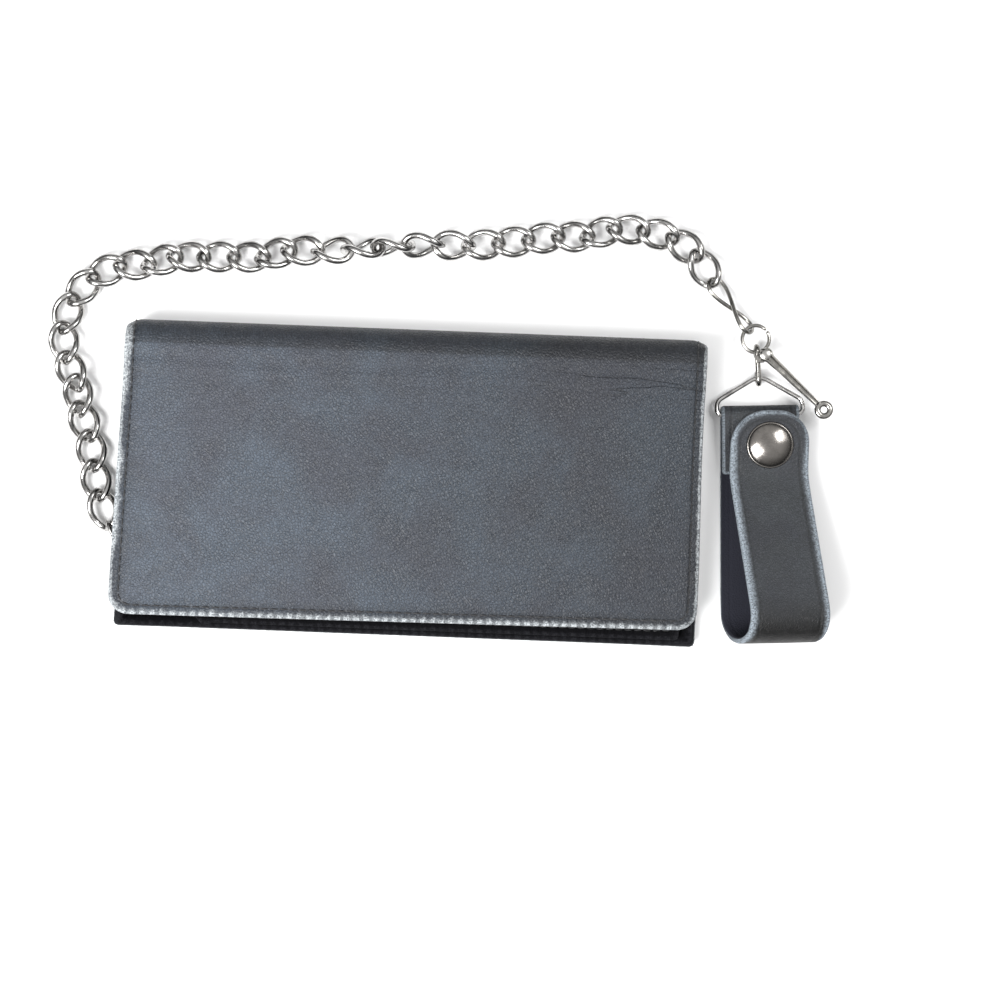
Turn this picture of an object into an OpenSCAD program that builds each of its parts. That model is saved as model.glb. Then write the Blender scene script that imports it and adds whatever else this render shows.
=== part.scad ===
// Long leather wallet with a folding flap, a curb chain and a snap belt loop.
// Origin: centre of the wallet's back face. +X runs right, +Y up towards the
// spine, +Z out of the flap. The wallet and the chain lie flat on the table.

/* [Wallet] */
// width of the closed wallet along the spine
wallet_w = 177.8; // [170:0.1:186]
// height of the closed wallet from the bottom edge to the spine
wallet_h = 94.5; // [92:0.1:97]
// thickness of the closed wallet at the spine
spine_t = 15; // [14.8:0.1:15.4]
// slope of the flap from the spine down to its free edge, in degrees
flap_slope = 3; // [2.8:0.1:3.2]
// thickness of the outer leather
leather_t = 1.5; // [1.4:0.05:1.6]
// thickness of the lining leather
lining_t = 0.8; // [0.7:0.05:0.9]
// distance from the wallet's bottom edge up to the flap's free edge
flap_short = 4.6; // [4:0.1:8]
// difference in height between the flap's left and right bottom corners
flap_skew = 1.6; // [0:0.1:3]
// how far the left and right edges of the back lift off the table
edge_lift = 2.6; // [2.5:0.05:2.8]
// radius of the flap's two free corners
corner_r = 6; // [3:0.5:9]

/* [Inside pockets] */
// width of the zip opening in the coin pocket
zip_w = 132; // [110:1:140]
// distance of each snap from the middle of the wallet
snap_x = 60; // [52:1:66]
// distance of the snaps from the flap's free edge
snap_in = 13; // [12:0.5:15]
// diameter of the inner snap parts
snap_d = 10; // [9:0.5:11]

/* [Chain] */
// diameter of the chain wire
link_wire = 2.2; // [2.1:0.05:2.25]
// length each link adds to the chain
link_pitch = 9.3; // [9.2:0.02:9.4]
// half width of a link, measured to the middle of the wire
link_half_w = 4; // [3.9:0.02:4.05]
// free play between two neighbouring links
link_play = 0.65; // [0.55:0.05:0.8]
// twist of each end of a link, in degrees
link_twist = 45; // [44:1:46]

/* [Chain ends] */
// wire diameter of the slim end links
slim_wire = 1.3; // [1.2:0.05:1.35]
// outer diameter of the joining ring
ring_od = 9.5; // [9.4:0.1:9.8]
// wire diameter of the joining ring
ring_wire = 1.2; // [1.1:0.05:1.25]
// length of the trigger lever from its pivot to the middle of its eye
lever_l = 24.6; // [20:0.2:28]
// wire diameter of the D-ring
dring_wire = 1.45; // [1.4:0.05:1.5]

/* [Belt loop] */
// width of the belt loop strap
loop_w = 24.2; // [22:0.1:24.4]
// thickness of the belt loop leather
loop_t = 2; // [1.9:0.05:2.05]
// length of the belt loop from the D-ring bar to the bottom bend
loop_l = 70.5; // [66:0.5:76]
// outer height of the bottom bend
loop_h = 18; // [17:0.5:20]
// diameter of the domed snap cap
cap_d = 14.4; // [13:0.1:15]

/* [Hidden] */
$fn = 48;
eps = 0.01;

black = [0.07, 0.07, 0.08];
blue_grey = [0.22, 0.25, 0.31];
lining_grey = [0.16, 0.17, 0.19];
steel = [0.74, 0.75, 0.77];
dark_steel = [0.33, 0.34, 0.37];

// --- wallet cross-section, seen from the side ---
half_w = wallet_w / 2;
mid_z = spine_t / 2;
spine_y = wallet_h / 2;
bend_y = spine_y - mid_z;
bottom_y = -wallet_h / 2;
half_gap = 0.1;

// the back's left and right edges rise over this width
lift_w = 18;
flat_half = half_w - lift_w;

// inner sheets, listed from the back: heights at the middle
lining_z = leather_t;
divider_z = lining_z + lining_t + 0.8;
pocket_z = divider_z + lining_t + 0.8;
coin_z = pocket_z + lining_t + 1.0;
coin_t = 1.0;
coin_top = coin_z + coin_t;

inner_half = 84;
seam_w = 3;
inner_bottom = bottom_y + 2;
corner_cut = 20;

// flap lengths along its own slope
flap_l = (bend_y - bottom_y - flap_short) / cos(flap_slope) - mid_z * sin(flap_slope);
flap_drop = 0.6;
flap_out = mid_z;
flap_in = flap_out - leather_t;
flap_lining_in = flap_in - lining_t;

// coin pocket zip
zip_y = 26;
slot_h = 3.2;
tape_h = 12;
tape_t = 0.4;
teeth_w = 1.4;
teeth_top = coin_top + 0.4;
tooth_step = 3;
slider_l = 8;
slider_y = 5;
slider_z = coin_top + 0.1;
slider_t = 1.8;
slider_x = zip_w / 2 - 6;
pull_l = 12;
pull_z = slider_z + slider_t + 0.9;
bail_hole = 0.55;
pull_pin = 0.5;

// snaps on the wallet
snap_y_along = -(flap_l - snap_in);
snap_y = bend_y + snap_y_along * cos(flap_slope) - flap_lining_in * sin(flap_slope);
snap_post_r = 1.8;
snap_hole_r = 2.1;
snap_base_t = 0.4;

// chain eyelet near the bottom left corner
eyelet_x = -84.9;
eyelet_y = -31.2;
edge_tilt = atan(edge_lift / lift_w);
eyelet_z = edge_lift * (-eyelet_x - flat_half) / lift_w;
eyelet_tube_r = 2.7;
eyelet_hole_r = 2.2;
eyelet_seat_r = 2.75;
flange_r = 3.5;
flange_t = 0.3;
stack_t = leather_t + lining_t;

// slim oval link that joins the eyelet to the chain
oval_l = 18.5;
oval_w = 6;
oval_heading = 118;
oval_in = 0.4;
oval_z = 3.75;

// --- curb chain ---
link_rings = 24;
link_sides = 8;
link_half_l = (link_pitch + link_wire + link_play) / 2;
chain_start = [-93, -16];
// direction each link lies in, anticlockwise from +X
headings = [112, 102, 100, 112, 98, 116, 98, 74, 50, 26, 2, 20, 0, 4, 0, 18,
            0, 4, 6, 6, 4, 0, 8, 8, 10, 0, 20, -2, -10, -34, -58];
// extra bunching where the chain is slack
slacks = [0, 0, 0, 0, 1, 1.5, 0, 0, 0, 0, 0, 0.8, 0.8, 0, 0, 0.8,
          0.8, 0, 0, 0, 0, 0, 0, 0, 0, 0, 0.6, 0.6, 0, 0, 0];
// roll of each link about its own length: the chain turns over once
rolls = [0, 0, 0, 0, -12, -12, -6, 0, 0, 0, 0, -12, -12, 0, 0, -12,
         -12, -36, -66, -96, -126, -156, -180, -180, -180, -180, -192, -192, -180, -180, -180];
link_count = len(headings);
flat_lift = 0.1;
rolled_lift = 0.5;

// --- pieces past the end of the chain ---
ring_centre = [104.4, 48.6, 3.6];
ring_mid_r = (ring_od - ring_wire) / 2;
hook_heading = -84;
hook_wire = 1.7;
hook_eye_r = 1.75;
hook_bend_r = 1.9;
hook_reach = 7.9;
dring_z = 2.85;
dring_half = 13.3;
dring_r = dring_wire / 2;
lever_heading = -41.5;
lever_pivot = [107.3, 43.7];
lever_t = 1.5;
lever_z = 7.3;
boss_low = 5.3;
boss_top = 6.5;
boss_r = 2.2;
rivet_r = 0.8;
rivet_fit = 0.05;

// --- belt loop ---
bar_centre = [106.6, 25.5];
loop_tilt = 3.2;
loop_lean = 0.5;
fold_in = 0.85;
fold_mid = fold_in + loop_t / 2;
bend_r = loop_h / 2;
bend_s = loop_l - bend_r;
pinch_s = 18.5;
cap_s = 9.6;
snap_gap = 2;
// heights of the middle of the return layer and of the tongue at the pinch
return_end_z = loop_t * 1.5 - 0.15;
return_slope = atan((dring_z + fold_mid - return_end_z) / pinch_s);
return_cap_z = return_end_z + (pinch_s - cap_s) * tan(return_slope);
tongue_end_z = return_end_z + loop_t / cos(return_slope) + snap_gap;
tongue_cap_z = return_cap_z + loop_t / cos(return_slope) + snap_gap;
tip_s = -1;

// ---------------------------------------------------------------- helpers

function unit(v) = v / norm(v);
function toward(a) = [cos(a), sin(a)];
function sum_to(list, i) = i < 0 ? 0 : list[i] + sum_to(list, i - 1);

// points of the round corner that replaces b on the way from a to c
function corner(a, b, c, r, n) =
    let (u = unit(a - b), v = unit(c - b), half = acos(u * v) / 2,
         centre = b + unit(u + v) * r / sin(half),
         p = b + u * r / tan(half) - centre, q = b + v * r / tan(half) - centre,
         span = 180 - 2 * half)
    [for (i = [0:n]) let (f = i / n)
        centre + (p * sin((1 - f) * span) + q * sin(f * span)) / sin(span)];

// a closed outline with every corner rounded: corners, their radii, steps
function rounded(pts, radii, n) =
    let (m = len(pts))
    [for (i = [0:m - 1]) each corner(pts[(i + m - 1) % m], pts[i], pts[(i + 1) % m], radii[i], n)];

function arc(centre, r, from, to, n) =
    [for (i = [0:n]) let (a = from + (to - from) * i / n) centre + r * toward(a)];

function in_plane(pts) = [for (p = pts) [p.x, p.y, 0]];
function upright(pts) = [for (p = pts) [p.x, 0, p.y]];

// round wire carried along a list of points; "up" is never along the wire
module wire(points, d, up, closed, sides) {
    m = len(points);
    last = m - 1;
    verts = [for (i = [0:last])
        let (before = closed ? points[(i + m - 1) % m] : points[max(i - 1, 0)],
             after = closed ? points[(i + 1) % m] : points[min(i + 1, last)],
             t = unit(after - before), u = unit(up - t * (up * t)), w = cross(t, u))
        for (k = [0:sides - 1]) let (a = 360 * (k + 0.5) / sides)
            points[i] + d / 2 * (cos(a) * u + sin(a) * w)];
    skin = [for (i = [0:closed ? last : last - 1], k = [0:sides - 1])
        let (j = (i + 1) % m, n = (k + 1) % sides)
        each [[i * sides + k, j * sides + n, i * sides + n], [i * sides + k, j * sides + k, j * sides + n]]];
    caps = closed ? [] : [[for (k = [0:sides - 1]) k], [for (k = [sides - 1:-1:0]) last * sides + k]];
    polyhedron(points = verts, faces = concat(skin, caps), convexity = 8);
}

// strip of leather: stations are [distance down the loop, height, angle, half width];
// lean is the share of the loop's sideways lean each station takes
module strap(stations, lean) {
    m = len(stations);
    verts = [for (i = [0:m - 1])
        let (s = stations[i], n = [-sin(s[2]), cos(s[2])] * loop_t / 2)
        for (side = [-1, 1], face = [1, -1])
            let (z = s[1] + face * n[1])
            [side * s[3] + lean[i] * loop_lean * (z - dring_z), -(s[0] + face * n[0]), z]];
    skin = [for (i = [0:m - 2], e = [[0, 2], [2, 3], [3, 1], [1, 0]])
        let (a = 4 * i + e[0], b = 4 * i + e[1], c = a + 4, d = b + 4)
        each [[a, b, d], [a, d, c]]];
    caps = [[0, 1, 3, 2], [4 * m - 4, 4 * m - 2, 4 * m - 1, 4 * m - 3]];
    polyhedron(points = verts, faces = concat(skin, caps), convexity = 6);
}

module along_x(length) {
    rotate([90, 0, 90]) translate([0, 0, -length / 2]) linear_extrude(length) children();
}

// a sheet across the wallet that follows the lifted left and right edges:
// flat between heights low and high, stacked on the back edge from seat up
module edge_sheet(half, y0, y1, low, high, seat, thick) {
    slope = edge_lift / lift_w;
    seam_x = half - seam_w;
    s1 = seat + slope * (seam_x - flat_half);
    s2 = seat + slope * (half - flat_half);
    right = [[flat_half, low], [seam_x, s1], [half, s2], [half, s2 + thick],
             [seam_x, s1 + thick], [flat_half, high]];
    left = [for (i = [5:-1:0]) [-right[i].x, right[i].y]];
    translate([0, y1, 0]) rotate([90, 0, 0]) linear_extrude(y1 - y0) polygon(concat(right, left));
}

module eyelet_frame() {
    translate([eyelet_x, eyelet_y, eyelet_z]) rotate([0, edge_tilt, 0]) children();
}

module eyelet_seat() {
    eyelet_frame() translate([0, 0, -1]) cylinder(h = stack_t + 2, r = eyelet_seat_r);
}

module bottom_left_cut() {
    translate([-inner_half, inner_bottom, 0]) rotate([0, 0, 45])
        cube([corner_cut * sqrt(2), corner_cut * sqrt(2), 60], center = true);
}

module flap_frame() {
    translate([0, bend_y, mid_z]) rotate([flap_slope, 0, 0]) children();
}

// sloping flap sheet between two distances from the bend's centre
module flap_sheet(half, near, far, low, high, drop) {
    right = [[half - lift_w, low], [half, low - drop], [half, high - drop], [half - lift_w, high]];
    left = [for (i = [3:-1:0]) [-right[i].x, right[i].y]];
    translate([0, near, 0]) rotate([90, 0, 0]) linear_extrude(far + near) polygon(concat(right, left));
}

// the flap's outline seen from above: round free corners, bottom edge at a slight angle
module flap_outline(inset) {
    w = half_w - inset;
    low = -flap_l + inset;
    tilt = -flap_skew / 2;
    polygon(concat(
        [[w, bend_y], [-w, bend_y]],
        corner([-w, 0], [-w, low + tilt], [w, low - tilt], corner_r, 8),
        corner([-w, low + tilt], [w, low - tilt], [w, 0], corner_r, 8)));
}

// ---------------------------------------------------------------- wallet body

module cover_back() {
    color(blue_grey) difference() {
        union() {
            edge_sheet(half_w, bottom_y, bend_y, 0, leather_t, 0, leather_t);
            along_x(wallet_w) translate([bend_y, mid_z]) intersection() {
                difference() {
                    circle(r = mid_z);
                    circle(r = mid_z - leather_t);
                }
                translate([-eps, -mid_z]) square([mid_z + eps, mid_z - half_gap / 2]);
            }
        }
        eyelet_seat();
    }
}

module back_lining() {
    color(lining_grey) difference() {
        edge_sheet(half_w, bottom_y, bend_y, lining_z, lining_z + lining_t, lining_z, lining_t);
        eyelet_seat();
    }
}

// one inner sheet, sewn to the sheet below along both sides and the bottom
module inner_sheet(top_y, below_top, low, thick, seat) {
    difference() {
        union() {
            edge_sheet(inner_half, inner_bottom, top_y, low, low + thick, seat, thick);
            edge_sheet(inner_half, inner_bottom, inner_bottom + seam_w, below_top, low + thick, seat, thick);
        }
        bottom_left_cut();
    }
}

module bill_divider() {
    color(lining_grey)
        inner_sheet(34, lining_z + lining_t, divider_z, lining_t, stack_t);
}

module pocket_panel() {
    color(lining_grey)
        inner_sheet(36, divider_z + lining_t, pocket_z, lining_t, stack_t + lining_t);
}

module coin_pocket_front() {
    color(black) difference() {
        inner_sheet(36, pocket_z + lining_t, coin_z, coin_t, stack_t + 2 * lining_t);
        translate([0, zip_y, coin_z]) cube([zip_w, slot_h, 4], center = true);
    }
}

module zipper_tape() {
    color(black) translate([0, zip_y, coin_z - tape_t / 2])
        cube([zip_w + 6, tape_h, tape_t], center = true);
}

module zipper_teeth() {
    half = zip_w / 2 - 1;
    color(dark_steel) {
        translate([-half, zip_y - teeth_w / 4, coin_z]) cube([2 * half, teeth_w / 2, teeth_top - coin_z]);
        for (x = [-half:tooth_step:half - tooth_step / 2])
            translate([x, zip_y - teeth_w / 2, coin_z]) cube([tooth_step / 2, teeth_w, teeth_top - coin_z]);
    }
}

module snap_studs() {
    color(steel) for (side = [-1, 1]) translate([side * snap_x, snap_y, coin_top]) {
        cylinder(h = snap_base_t, d = snap_d);
        cylinder(h = snap_base_t + 0.7, r = snap_post_r);
    }
}

module eyelet() {
    color(steel) eyelet_frame() difference() {
        union() {
            translate([0, 0, -flange_t]) cylinder(h = flange_t, r = flange_r);
            translate([0, 0, -flange_t]) cylinder(h = stack_t + 3 * flange_t, r = eyelet_tube_r);
            translate([0, 0, stack_t + flange_t]) cylinder(h = flange_t, r = flange_r - 0.3);
        }
        translate([0, 0, -1]) cylinder(h = stack_t + 3, r = eyelet_hole_r);
    }
}

module eyelet_washer() {
    color(steel) eyelet_frame() translate([0, 0, stack_t]) difference() {
        cylinder(h = flange_t, r = flange_r + 0.1);
        translate([0, 0, -1]) cylinder(h = 2, r = eyelet_seat_r);
    }
}

// ---------------------------------------------------------------- flap

module cover_flap() {
    color(blue_grey) {
        intersection() {
            flap_frame() flap_sheet(half_w, 0, flap_l + flap_skew, flap_in, flap_out, flap_drop);
            flap_frame() translate([0, 0, -spine_t]) linear_extrude(2 * spine_t) flap_outline(0);
        }
        along_x(wallet_w) translate([bend_y, mid_z]) intersection() {
            difference() {
                circle(r = mid_z);
                circle(r = mid_z - leather_t);
            }
            union() {
                translate([0, half_gap / 2]) square([mid_z + 1, mid_z + 1]);
                rotate(flap_slope) square([mid_z, mid_z + 1]);
            }
        }
    }
}

module flap_lining() {
    color(lining_grey) intersection() {
        flap_frame() flap_sheet(half_w - 1, 0, flap_l + flap_skew, flap_lining_in, flap_in, flap_drop);
        flap_frame() translate([0, 0, -spine_t]) linear_extrude(2 * spine_t) flap_outline(1);
    }
}

module card_pockets() {
    card_w = 66;
    card_t = 0.5;
    far = 60;
    color(black) flap_frame() for (side = [-1, 1], tier = [0:2])
        translate([side * (card_w / 2 + 2), -22 - 8 * tier, flap_lining_in - card_t * (tier + 1)])
            translate([-card_w / 2, -(far - 22 - 8 * tier), 0])
                cube([card_w, far - 22 - 8 * tier, card_t]);
}

module snap_sockets() {
    socket_h = 0.9;
    color(steel) flap_frame() for (side = [-1, 1])
        translate([side * snap_x, snap_y_along, flap_lining_in - socket_h]) difference() {
            cylinder(h = socket_h, d = snap_d - 0.6);
            translate([0, 0, -1]) cylinder(h = socket_h + 0.7, r = snap_hole_r);
        }
}

// ---------------------------------------------------------------- zip slider

module zipper_slider() {
    bail_w = 1.4;
    color(steel) translate([slider_x, zip_y, slider_z]) difference() {
        union() {
            translate([-slider_l / 2, -slider_y / 2, 0]) cube([slider_l, slider_y, slider_t]);
            translate([-1.1, -bail_w / 2, 0]) cube([2.2, bail_w, pull_z - slider_z + 1.1]);
        }
        translate([-slider_l, -teeth_w / 2 - 0.3, -1]) cube([2 * slider_l, teeth_w + 0.6, 1.6]);
        translate([0, 0, pull_z - slider_z]) rotate([90, 0, 0])
            cylinder(h = 2 * slider_y, r = bail_hole, center = true);
    }
}

module zipper_pull() {
    fork = 1.2;
    color(steel) translate([slider_x, zip_y, pull_z]) {
        rotate([90, 0, 0]) cylinder(h = 2 * fork + 1.6, r = pull_pin, center = true);
        for (side = [-1, 1])
            translate([-3, side * (fork + 0.3) - 0.5, -pull_pin]) cube([3, 1, 2 * pull_pin]);
        translate([-pull_l, -2, -pull_pin]) cube([pull_l - 2.6, 4, 2 * pull_pin]);
    }
}

// ---------------------------------------------------------------- chain

module wallet_link() {
    half = oval_w / 2;
    outline = rounded([[0, -half], [oval_l, -half], [oval_l, half], [0, half]],
                      [half, half, half, half] * 0.985, 6);
    color(steel) translate([eyelet_x, eyelet_y, oval_z]) rotate([0, 0, oval_heading])
        translate([-oval_in, 0, 0]) wire(upright(outline), slim_wire, [0, 1, 0], true, 8);
}

function link_path() = [for (i = [0:link_rings - 1])
    let (t = 360 * i / link_rings, turn = link_twist * cos(t))
    [link_half_l * cos(t), link_half_w * sin(t) * cos(turn), link_half_w * sin(t) * sin(turn)]];

// height of a link's middle above the table when it is rolled
function rest_height(roll) =
    max([for (p = link_path()) abs(p.y * sin(roll) + p.z * cos(roll))])
    + link_wire / 2 + (roll % 180 == 0 ? flat_lift : rolled_lift);

function slack_after(i) = i + 1 < link_count ? slacks[i + 1] : 0;
function reach_back(i) = link_half_l - (link_wire + link_play + slacks[i]) / 2;
function reach_on(i) = link_half_l - (link_wire + link_play + slack_after(i)) / 2;
function link_step(i) = reach_back(i) + reach_on(i);
function joint_xy(i) = i == 0 ? chain_start : joint_xy(i - 1) + link_step(i - 1) * toward(headings[i - 1]);
function joint_z(i) =
    i == 0 ? oval_z :
    i == link_count ? rest_height(rolls[link_count - 1]) :
    (rest_height(rolls[i - 1]) + rest_height(rolls[i])) / 2;

chain_end = joint_xy(link_count);

module chain_link(i) {
    low = joint_z(i);
    high = joint_z(i + 1);
    rise = atan2(high - low, link_step(i));
    middle = joint_xy(i) + reach_back(i) * toward(headings[i]);
    z = (low * reach_on(i) + high * reach_back(i)) / link_step(i);
    color(steel) translate([middle.x, middle.y, z]) rotate([rolls[i], -rise, headings[i]])
        wire(link_path(), link_wire, [0, 0, 1], true, link_sides);
}

// figure-eight link between the chain and the joining ring
module clip_link() {
    turns = 40;
    lobe_w = 3.0;
    cross_h = 0.78;
    roll = -48;
    start = [chain_end.x, chain_end.y, joint_z(link_count)];
    catch = ring_centre + [ring_mid_r * cos(128), ring_mid_r * sin(128), 0];
    run = catch - start;
    flat_run = norm([run.x, run.y]);
    back = 0.6;
    length = norm(run) + back + 1.5;
    color(steel) translate(start) rotate([0, -atan2(run.z, flat_run), atan2(run.y, run.x)])
        translate([length / 2 - back, 0, 0]) rotate([roll, 0, 0])
            wire([for (i = [0:turns - 1]) let (t = 360 * i / turns)
                    [length / 2 * cos(t), lobe_w * sin(2 * t), -cross_h * sin(t)]],
                 slim_wire, [0, 0, 1], true, 8);
}

module joining_ring() {
    color(steel) translate(ring_centre) rotate_extrude()
        translate([ring_mid_r, 0]) circle(d = ring_wire, $fn = 24);
}

// ---------------------------------------------------------------- hook

module hook_frame() {
    at = ring_centre + [ring_mid_r * cos(hook_heading), ring_mid_r * sin(hook_heading), 0];
    translate([at.x, at.y, 0]) rotate([0, 0, hook_heading]) children();
}

module hook_body() {
    eye = arc([0, ring_centre.z], hook_eye_r, -20, -270, 10);
    bend = arc([hook_reach, dring_z], hook_bend_r, 90, -90, 9);
    tip = [[hook_reach - 2.4, dring_z - hook_bend_r]];
    color(steel) difference() {
        union() {
            hook_frame() wire(upright(concat(eye, bend, tip)), hook_wire, [0, 1, 0], false, 8);
            translate([lever_pivot.x, lever_pivot.y, boss_low]) cylinder(h = boss_top - boss_low, r = boss_r);
            hook_frame() translate([1, -0.8, boss_low]) cube([2.4, 2.8, boss_top - boss_low]);
        }
        translate([lever_pivot.x, lever_pivot.y, 0]) cylinder(h = 20, r = rivet_r + rivet_fit);
    }
}

module hook_rivet() {
    head_r = 1.5;
    head_t = 0.5;
    top = lever_z + lever_t;
    color(steel) translate([lever_pivot.x, lever_pivot.y, 0]) {
        translate([0, 0, boss_low - head_t]) cylinder(h = head_t, r = head_r);
        translate([0, 0, boss_low - head_t]) cylinder(h = top - boss_low + 2 * head_t, r = rivet_r);
        translate([0, 0, top + 0.05]) cylinder(h = head_t, r = head_r);
    }
}

module hook_spring() {
    coil_wire = 0.3;
    coil_r = 1.3;
    turns = 1.5;
    steps = 24;
    low = boss_top + coil_wire / 2;
    rise = lever_z - boss_top - coil_wire - 0.02;
    color(dark_steel) translate([lever_pivot.x, lever_pivot.y, low])
        wire([for (i = [0:steps]) [coil_r * cos(360 * turns * i / steps),
                                   coil_r * sin(360 * turns * i / steps), rise * i / steps]],
             coil_wire, [0, 0, 1], false, 6);
}

module hook_lever() {
    root_w = 3.2;
    tip_w = 1.8;
    eye_r = 2.9;
    eye_hole = 0.95;
    color(steel) translate([lever_pivot.x, lever_pivot.y, lever_z]) rotate([0, 0, lever_heading])
        difference() {
            union() {
                linear_extrude(lever_t)
                    polygon([[0, root_w / 2], [0, -root_w / 2], [lever_l, -tip_w / 2], [lever_l, tip_w / 2]]);
                cylinder(h = lever_t, r = 2.2);
                translate([lever_l, 0, 0]) cylinder(h = lever_t, r = eye_r);
            }
            translate([0, 0, -1]) cylinder(h = lever_t + 2, r = rivet_r + rivet_fit);
            translate([lever_l, 0, -1]) cylinder(h = lever_t + 2, r = eye_hole);
        }
}

// ---------------------------------------------------------------- belt loop

module loop_frame() {
    translate([bar_centre.x, bar_centre.y, 0]) rotate([0, 0, loop_tilt]) children();
}

module d_ring() {
    outline = rounded([[-dring_half, 0], [dring_half, 0], [dring_half, 4.2], [0, 11.9], [-dring_half, 4.2]],
                      [1.6, 1.6, 3, 5, 3], 4);
    color(steel) loop_frame() translate([0, 0, dring_z])
        wire(in_plane(outline), dring_wire, [0, 0, 1], true, 8);
}

// stations round an arc in the side view of the loop; turn is the travel direction
function bend_stations(s, z, r, from, to, n, w) =
    [for (i = [0:n]) let (a = from + (to - from) * i / n)
        [s + r * cos(a), z + r * sin(a), a + (to > from ? 90 : -90), w]];

module loop_strap() {
    w = loop_w / 2;
    mid = loop_t / 2;
    r = bend_r - mid;
    fold = bend_stations(0, dring_z, fold_mid, 90, 270, 10, w);
    rest = concat([[bend_s - 6, dring_z - fold_mid, 0, w]],
                  bend_stations(bend_s, bend_r, r, -90, -0.6, 8, w));
    color(black) loop_frame() {
        strap(concat(fold, rest), concat([for (s = fold) 0], [for (s = rest) 1]));
        strap([[-0.3, dring_z + fold_mid - 0.05, -return_slope, w - 0.2],
               [pinch_s, return_end_z, -return_slope, w - 0.2]], [0, 0]);
    }
}

module loop_tongue() {
    w = loop_w / 2;
    mid = loop_t / 2;
    r = bend_r - mid;
    run = pinch_s - tip_s;
    tip_z = tongue_end_z + run * tan(return_slope);
    climb = 15.2;
    stations = concat(
        [for (f = [0.5, 2, 5, 9]) [tip_s + f, tip_z - f * tan(return_slope), -return_slope,
                                   w - (9 - f) * (9 - f) / 18]],
        [[pinch_s, tongue_end_z, 4, w]],
        bend_stations(bend_s, bend_r, r, 90 + climb, 0.6, 9, w));
    color(black) loop_frame() strap(stations, [for (s = stations) 1]);
}

module cap_frame(z) {
    loop_frame() translate([loop_lean * (z - dring_z), -cap_s, z]) rotate([return_slope, 0, 0]) children();
}

module loop_snap_stud() {
    color(steel) cap_frame(tongue_cap_z) translate([0, 0, -loop_t / 2 - snap_gap * cos(return_slope)]) {
        cylinder(h = 0.4, d = snap_d);
        cylinder(h = 1.7, r = snap_post_r);
    }
}

module loop_snap_socket() {
    socket_h = 1.2;
    color(steel) cap_frame(tongue_cap_z) translate([0, 0, -loop_t / 2 - socket_h]) difference() {
        cylinder(h = socket_h, d = snap_d);
        translate([0, 0, -1]) cylinder(h = socket_h + 0.9, r = snap_hole_r);
    }
}

module loop_snap_cap() {
    rim_h = 0.5;
    dome_h = 2.1;
    cap_r = cap_d / 2;
    ball_r = (cap_r * cap_r + dome_h * dome_h) / (2 * dome_h);
    color(dark_steel) cap_frame(tongue_cap_z) translate([0, 0, loop_t / 2]) {
        cylinder(h = rim_h, r = cap_r);
        intersection() {
            translate([0, 0, rim_h + dome_h - ball_r]) sphere(r = ball_r, $fn = 64);
            cylinder(h = rim_h + dome_h + 1, r = cap_r);
        }
    }
}

// ---------------------------------------------------------------- nodes

function link_name(i) = str("chain_link_", i < 9 ? "0" : "", i + 1);

cover_back();
back_lining();
bill_divider();
pocket_panel();
coin_pocket_front();
zipper_tape();
zipper_teeth();
snap_studs();
eyelet();
eyelet_washer();
cover_flap();
flap_lining();
card_pockets();
snap_sockets();
zipper_slider();
zipper_pull();
wallet_link();
for (i = [0:link_count - 1])
    chain_link(i);
clip_link();
joining_ring();
hook_body();
hook_rivet();
hook_spring();
hook_lever();
d_ring();
loop_strap();
loop_snap_stud();
loop_tongue();
loop_snap_cap();
loop_snap_socket();
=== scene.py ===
"""Looks of the long leather wallet, its curb chain, trigger hook and snap belt loop.

Lengths are in millimetres in this script and become metres where a mesh is made. The frame is the
part's own: +X right, +Y up towards the spine, +Z out of the flap, the table at z = 0.
A leather panel is a Sheet: a grid in flat coordinates (x across, s along) that a function lays out
in space, so that grain, worn edges and seams keep their real size and stay on the leather.
"""

import math

import bmesh
import bpy
import numpy as np
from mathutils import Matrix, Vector, kdtree


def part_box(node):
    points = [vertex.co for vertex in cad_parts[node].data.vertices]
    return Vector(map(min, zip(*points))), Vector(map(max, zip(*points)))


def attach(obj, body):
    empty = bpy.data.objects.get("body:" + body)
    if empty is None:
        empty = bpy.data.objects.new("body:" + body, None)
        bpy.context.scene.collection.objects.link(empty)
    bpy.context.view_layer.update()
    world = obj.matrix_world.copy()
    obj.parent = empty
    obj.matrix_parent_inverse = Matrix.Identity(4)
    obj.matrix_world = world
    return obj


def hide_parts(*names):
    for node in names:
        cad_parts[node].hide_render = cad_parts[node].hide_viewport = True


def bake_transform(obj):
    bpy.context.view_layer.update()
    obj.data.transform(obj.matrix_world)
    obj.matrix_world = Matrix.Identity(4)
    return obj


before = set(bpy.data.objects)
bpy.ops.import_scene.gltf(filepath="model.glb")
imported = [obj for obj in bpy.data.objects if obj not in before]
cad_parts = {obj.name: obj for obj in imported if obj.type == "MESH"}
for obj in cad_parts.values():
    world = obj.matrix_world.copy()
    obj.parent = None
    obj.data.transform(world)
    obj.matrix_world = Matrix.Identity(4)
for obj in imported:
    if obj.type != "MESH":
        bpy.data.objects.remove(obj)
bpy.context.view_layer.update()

MM = 0.001
Y_AXIS, Z_AXIS = [0, 1, 0], [0, 0, 1]
scene = bpy.context.scene


def box_mm(node):
    low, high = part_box(node)
    return np.array(low) / MM, np.array(high) / MM


# ---- sizes shared with the part

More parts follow.
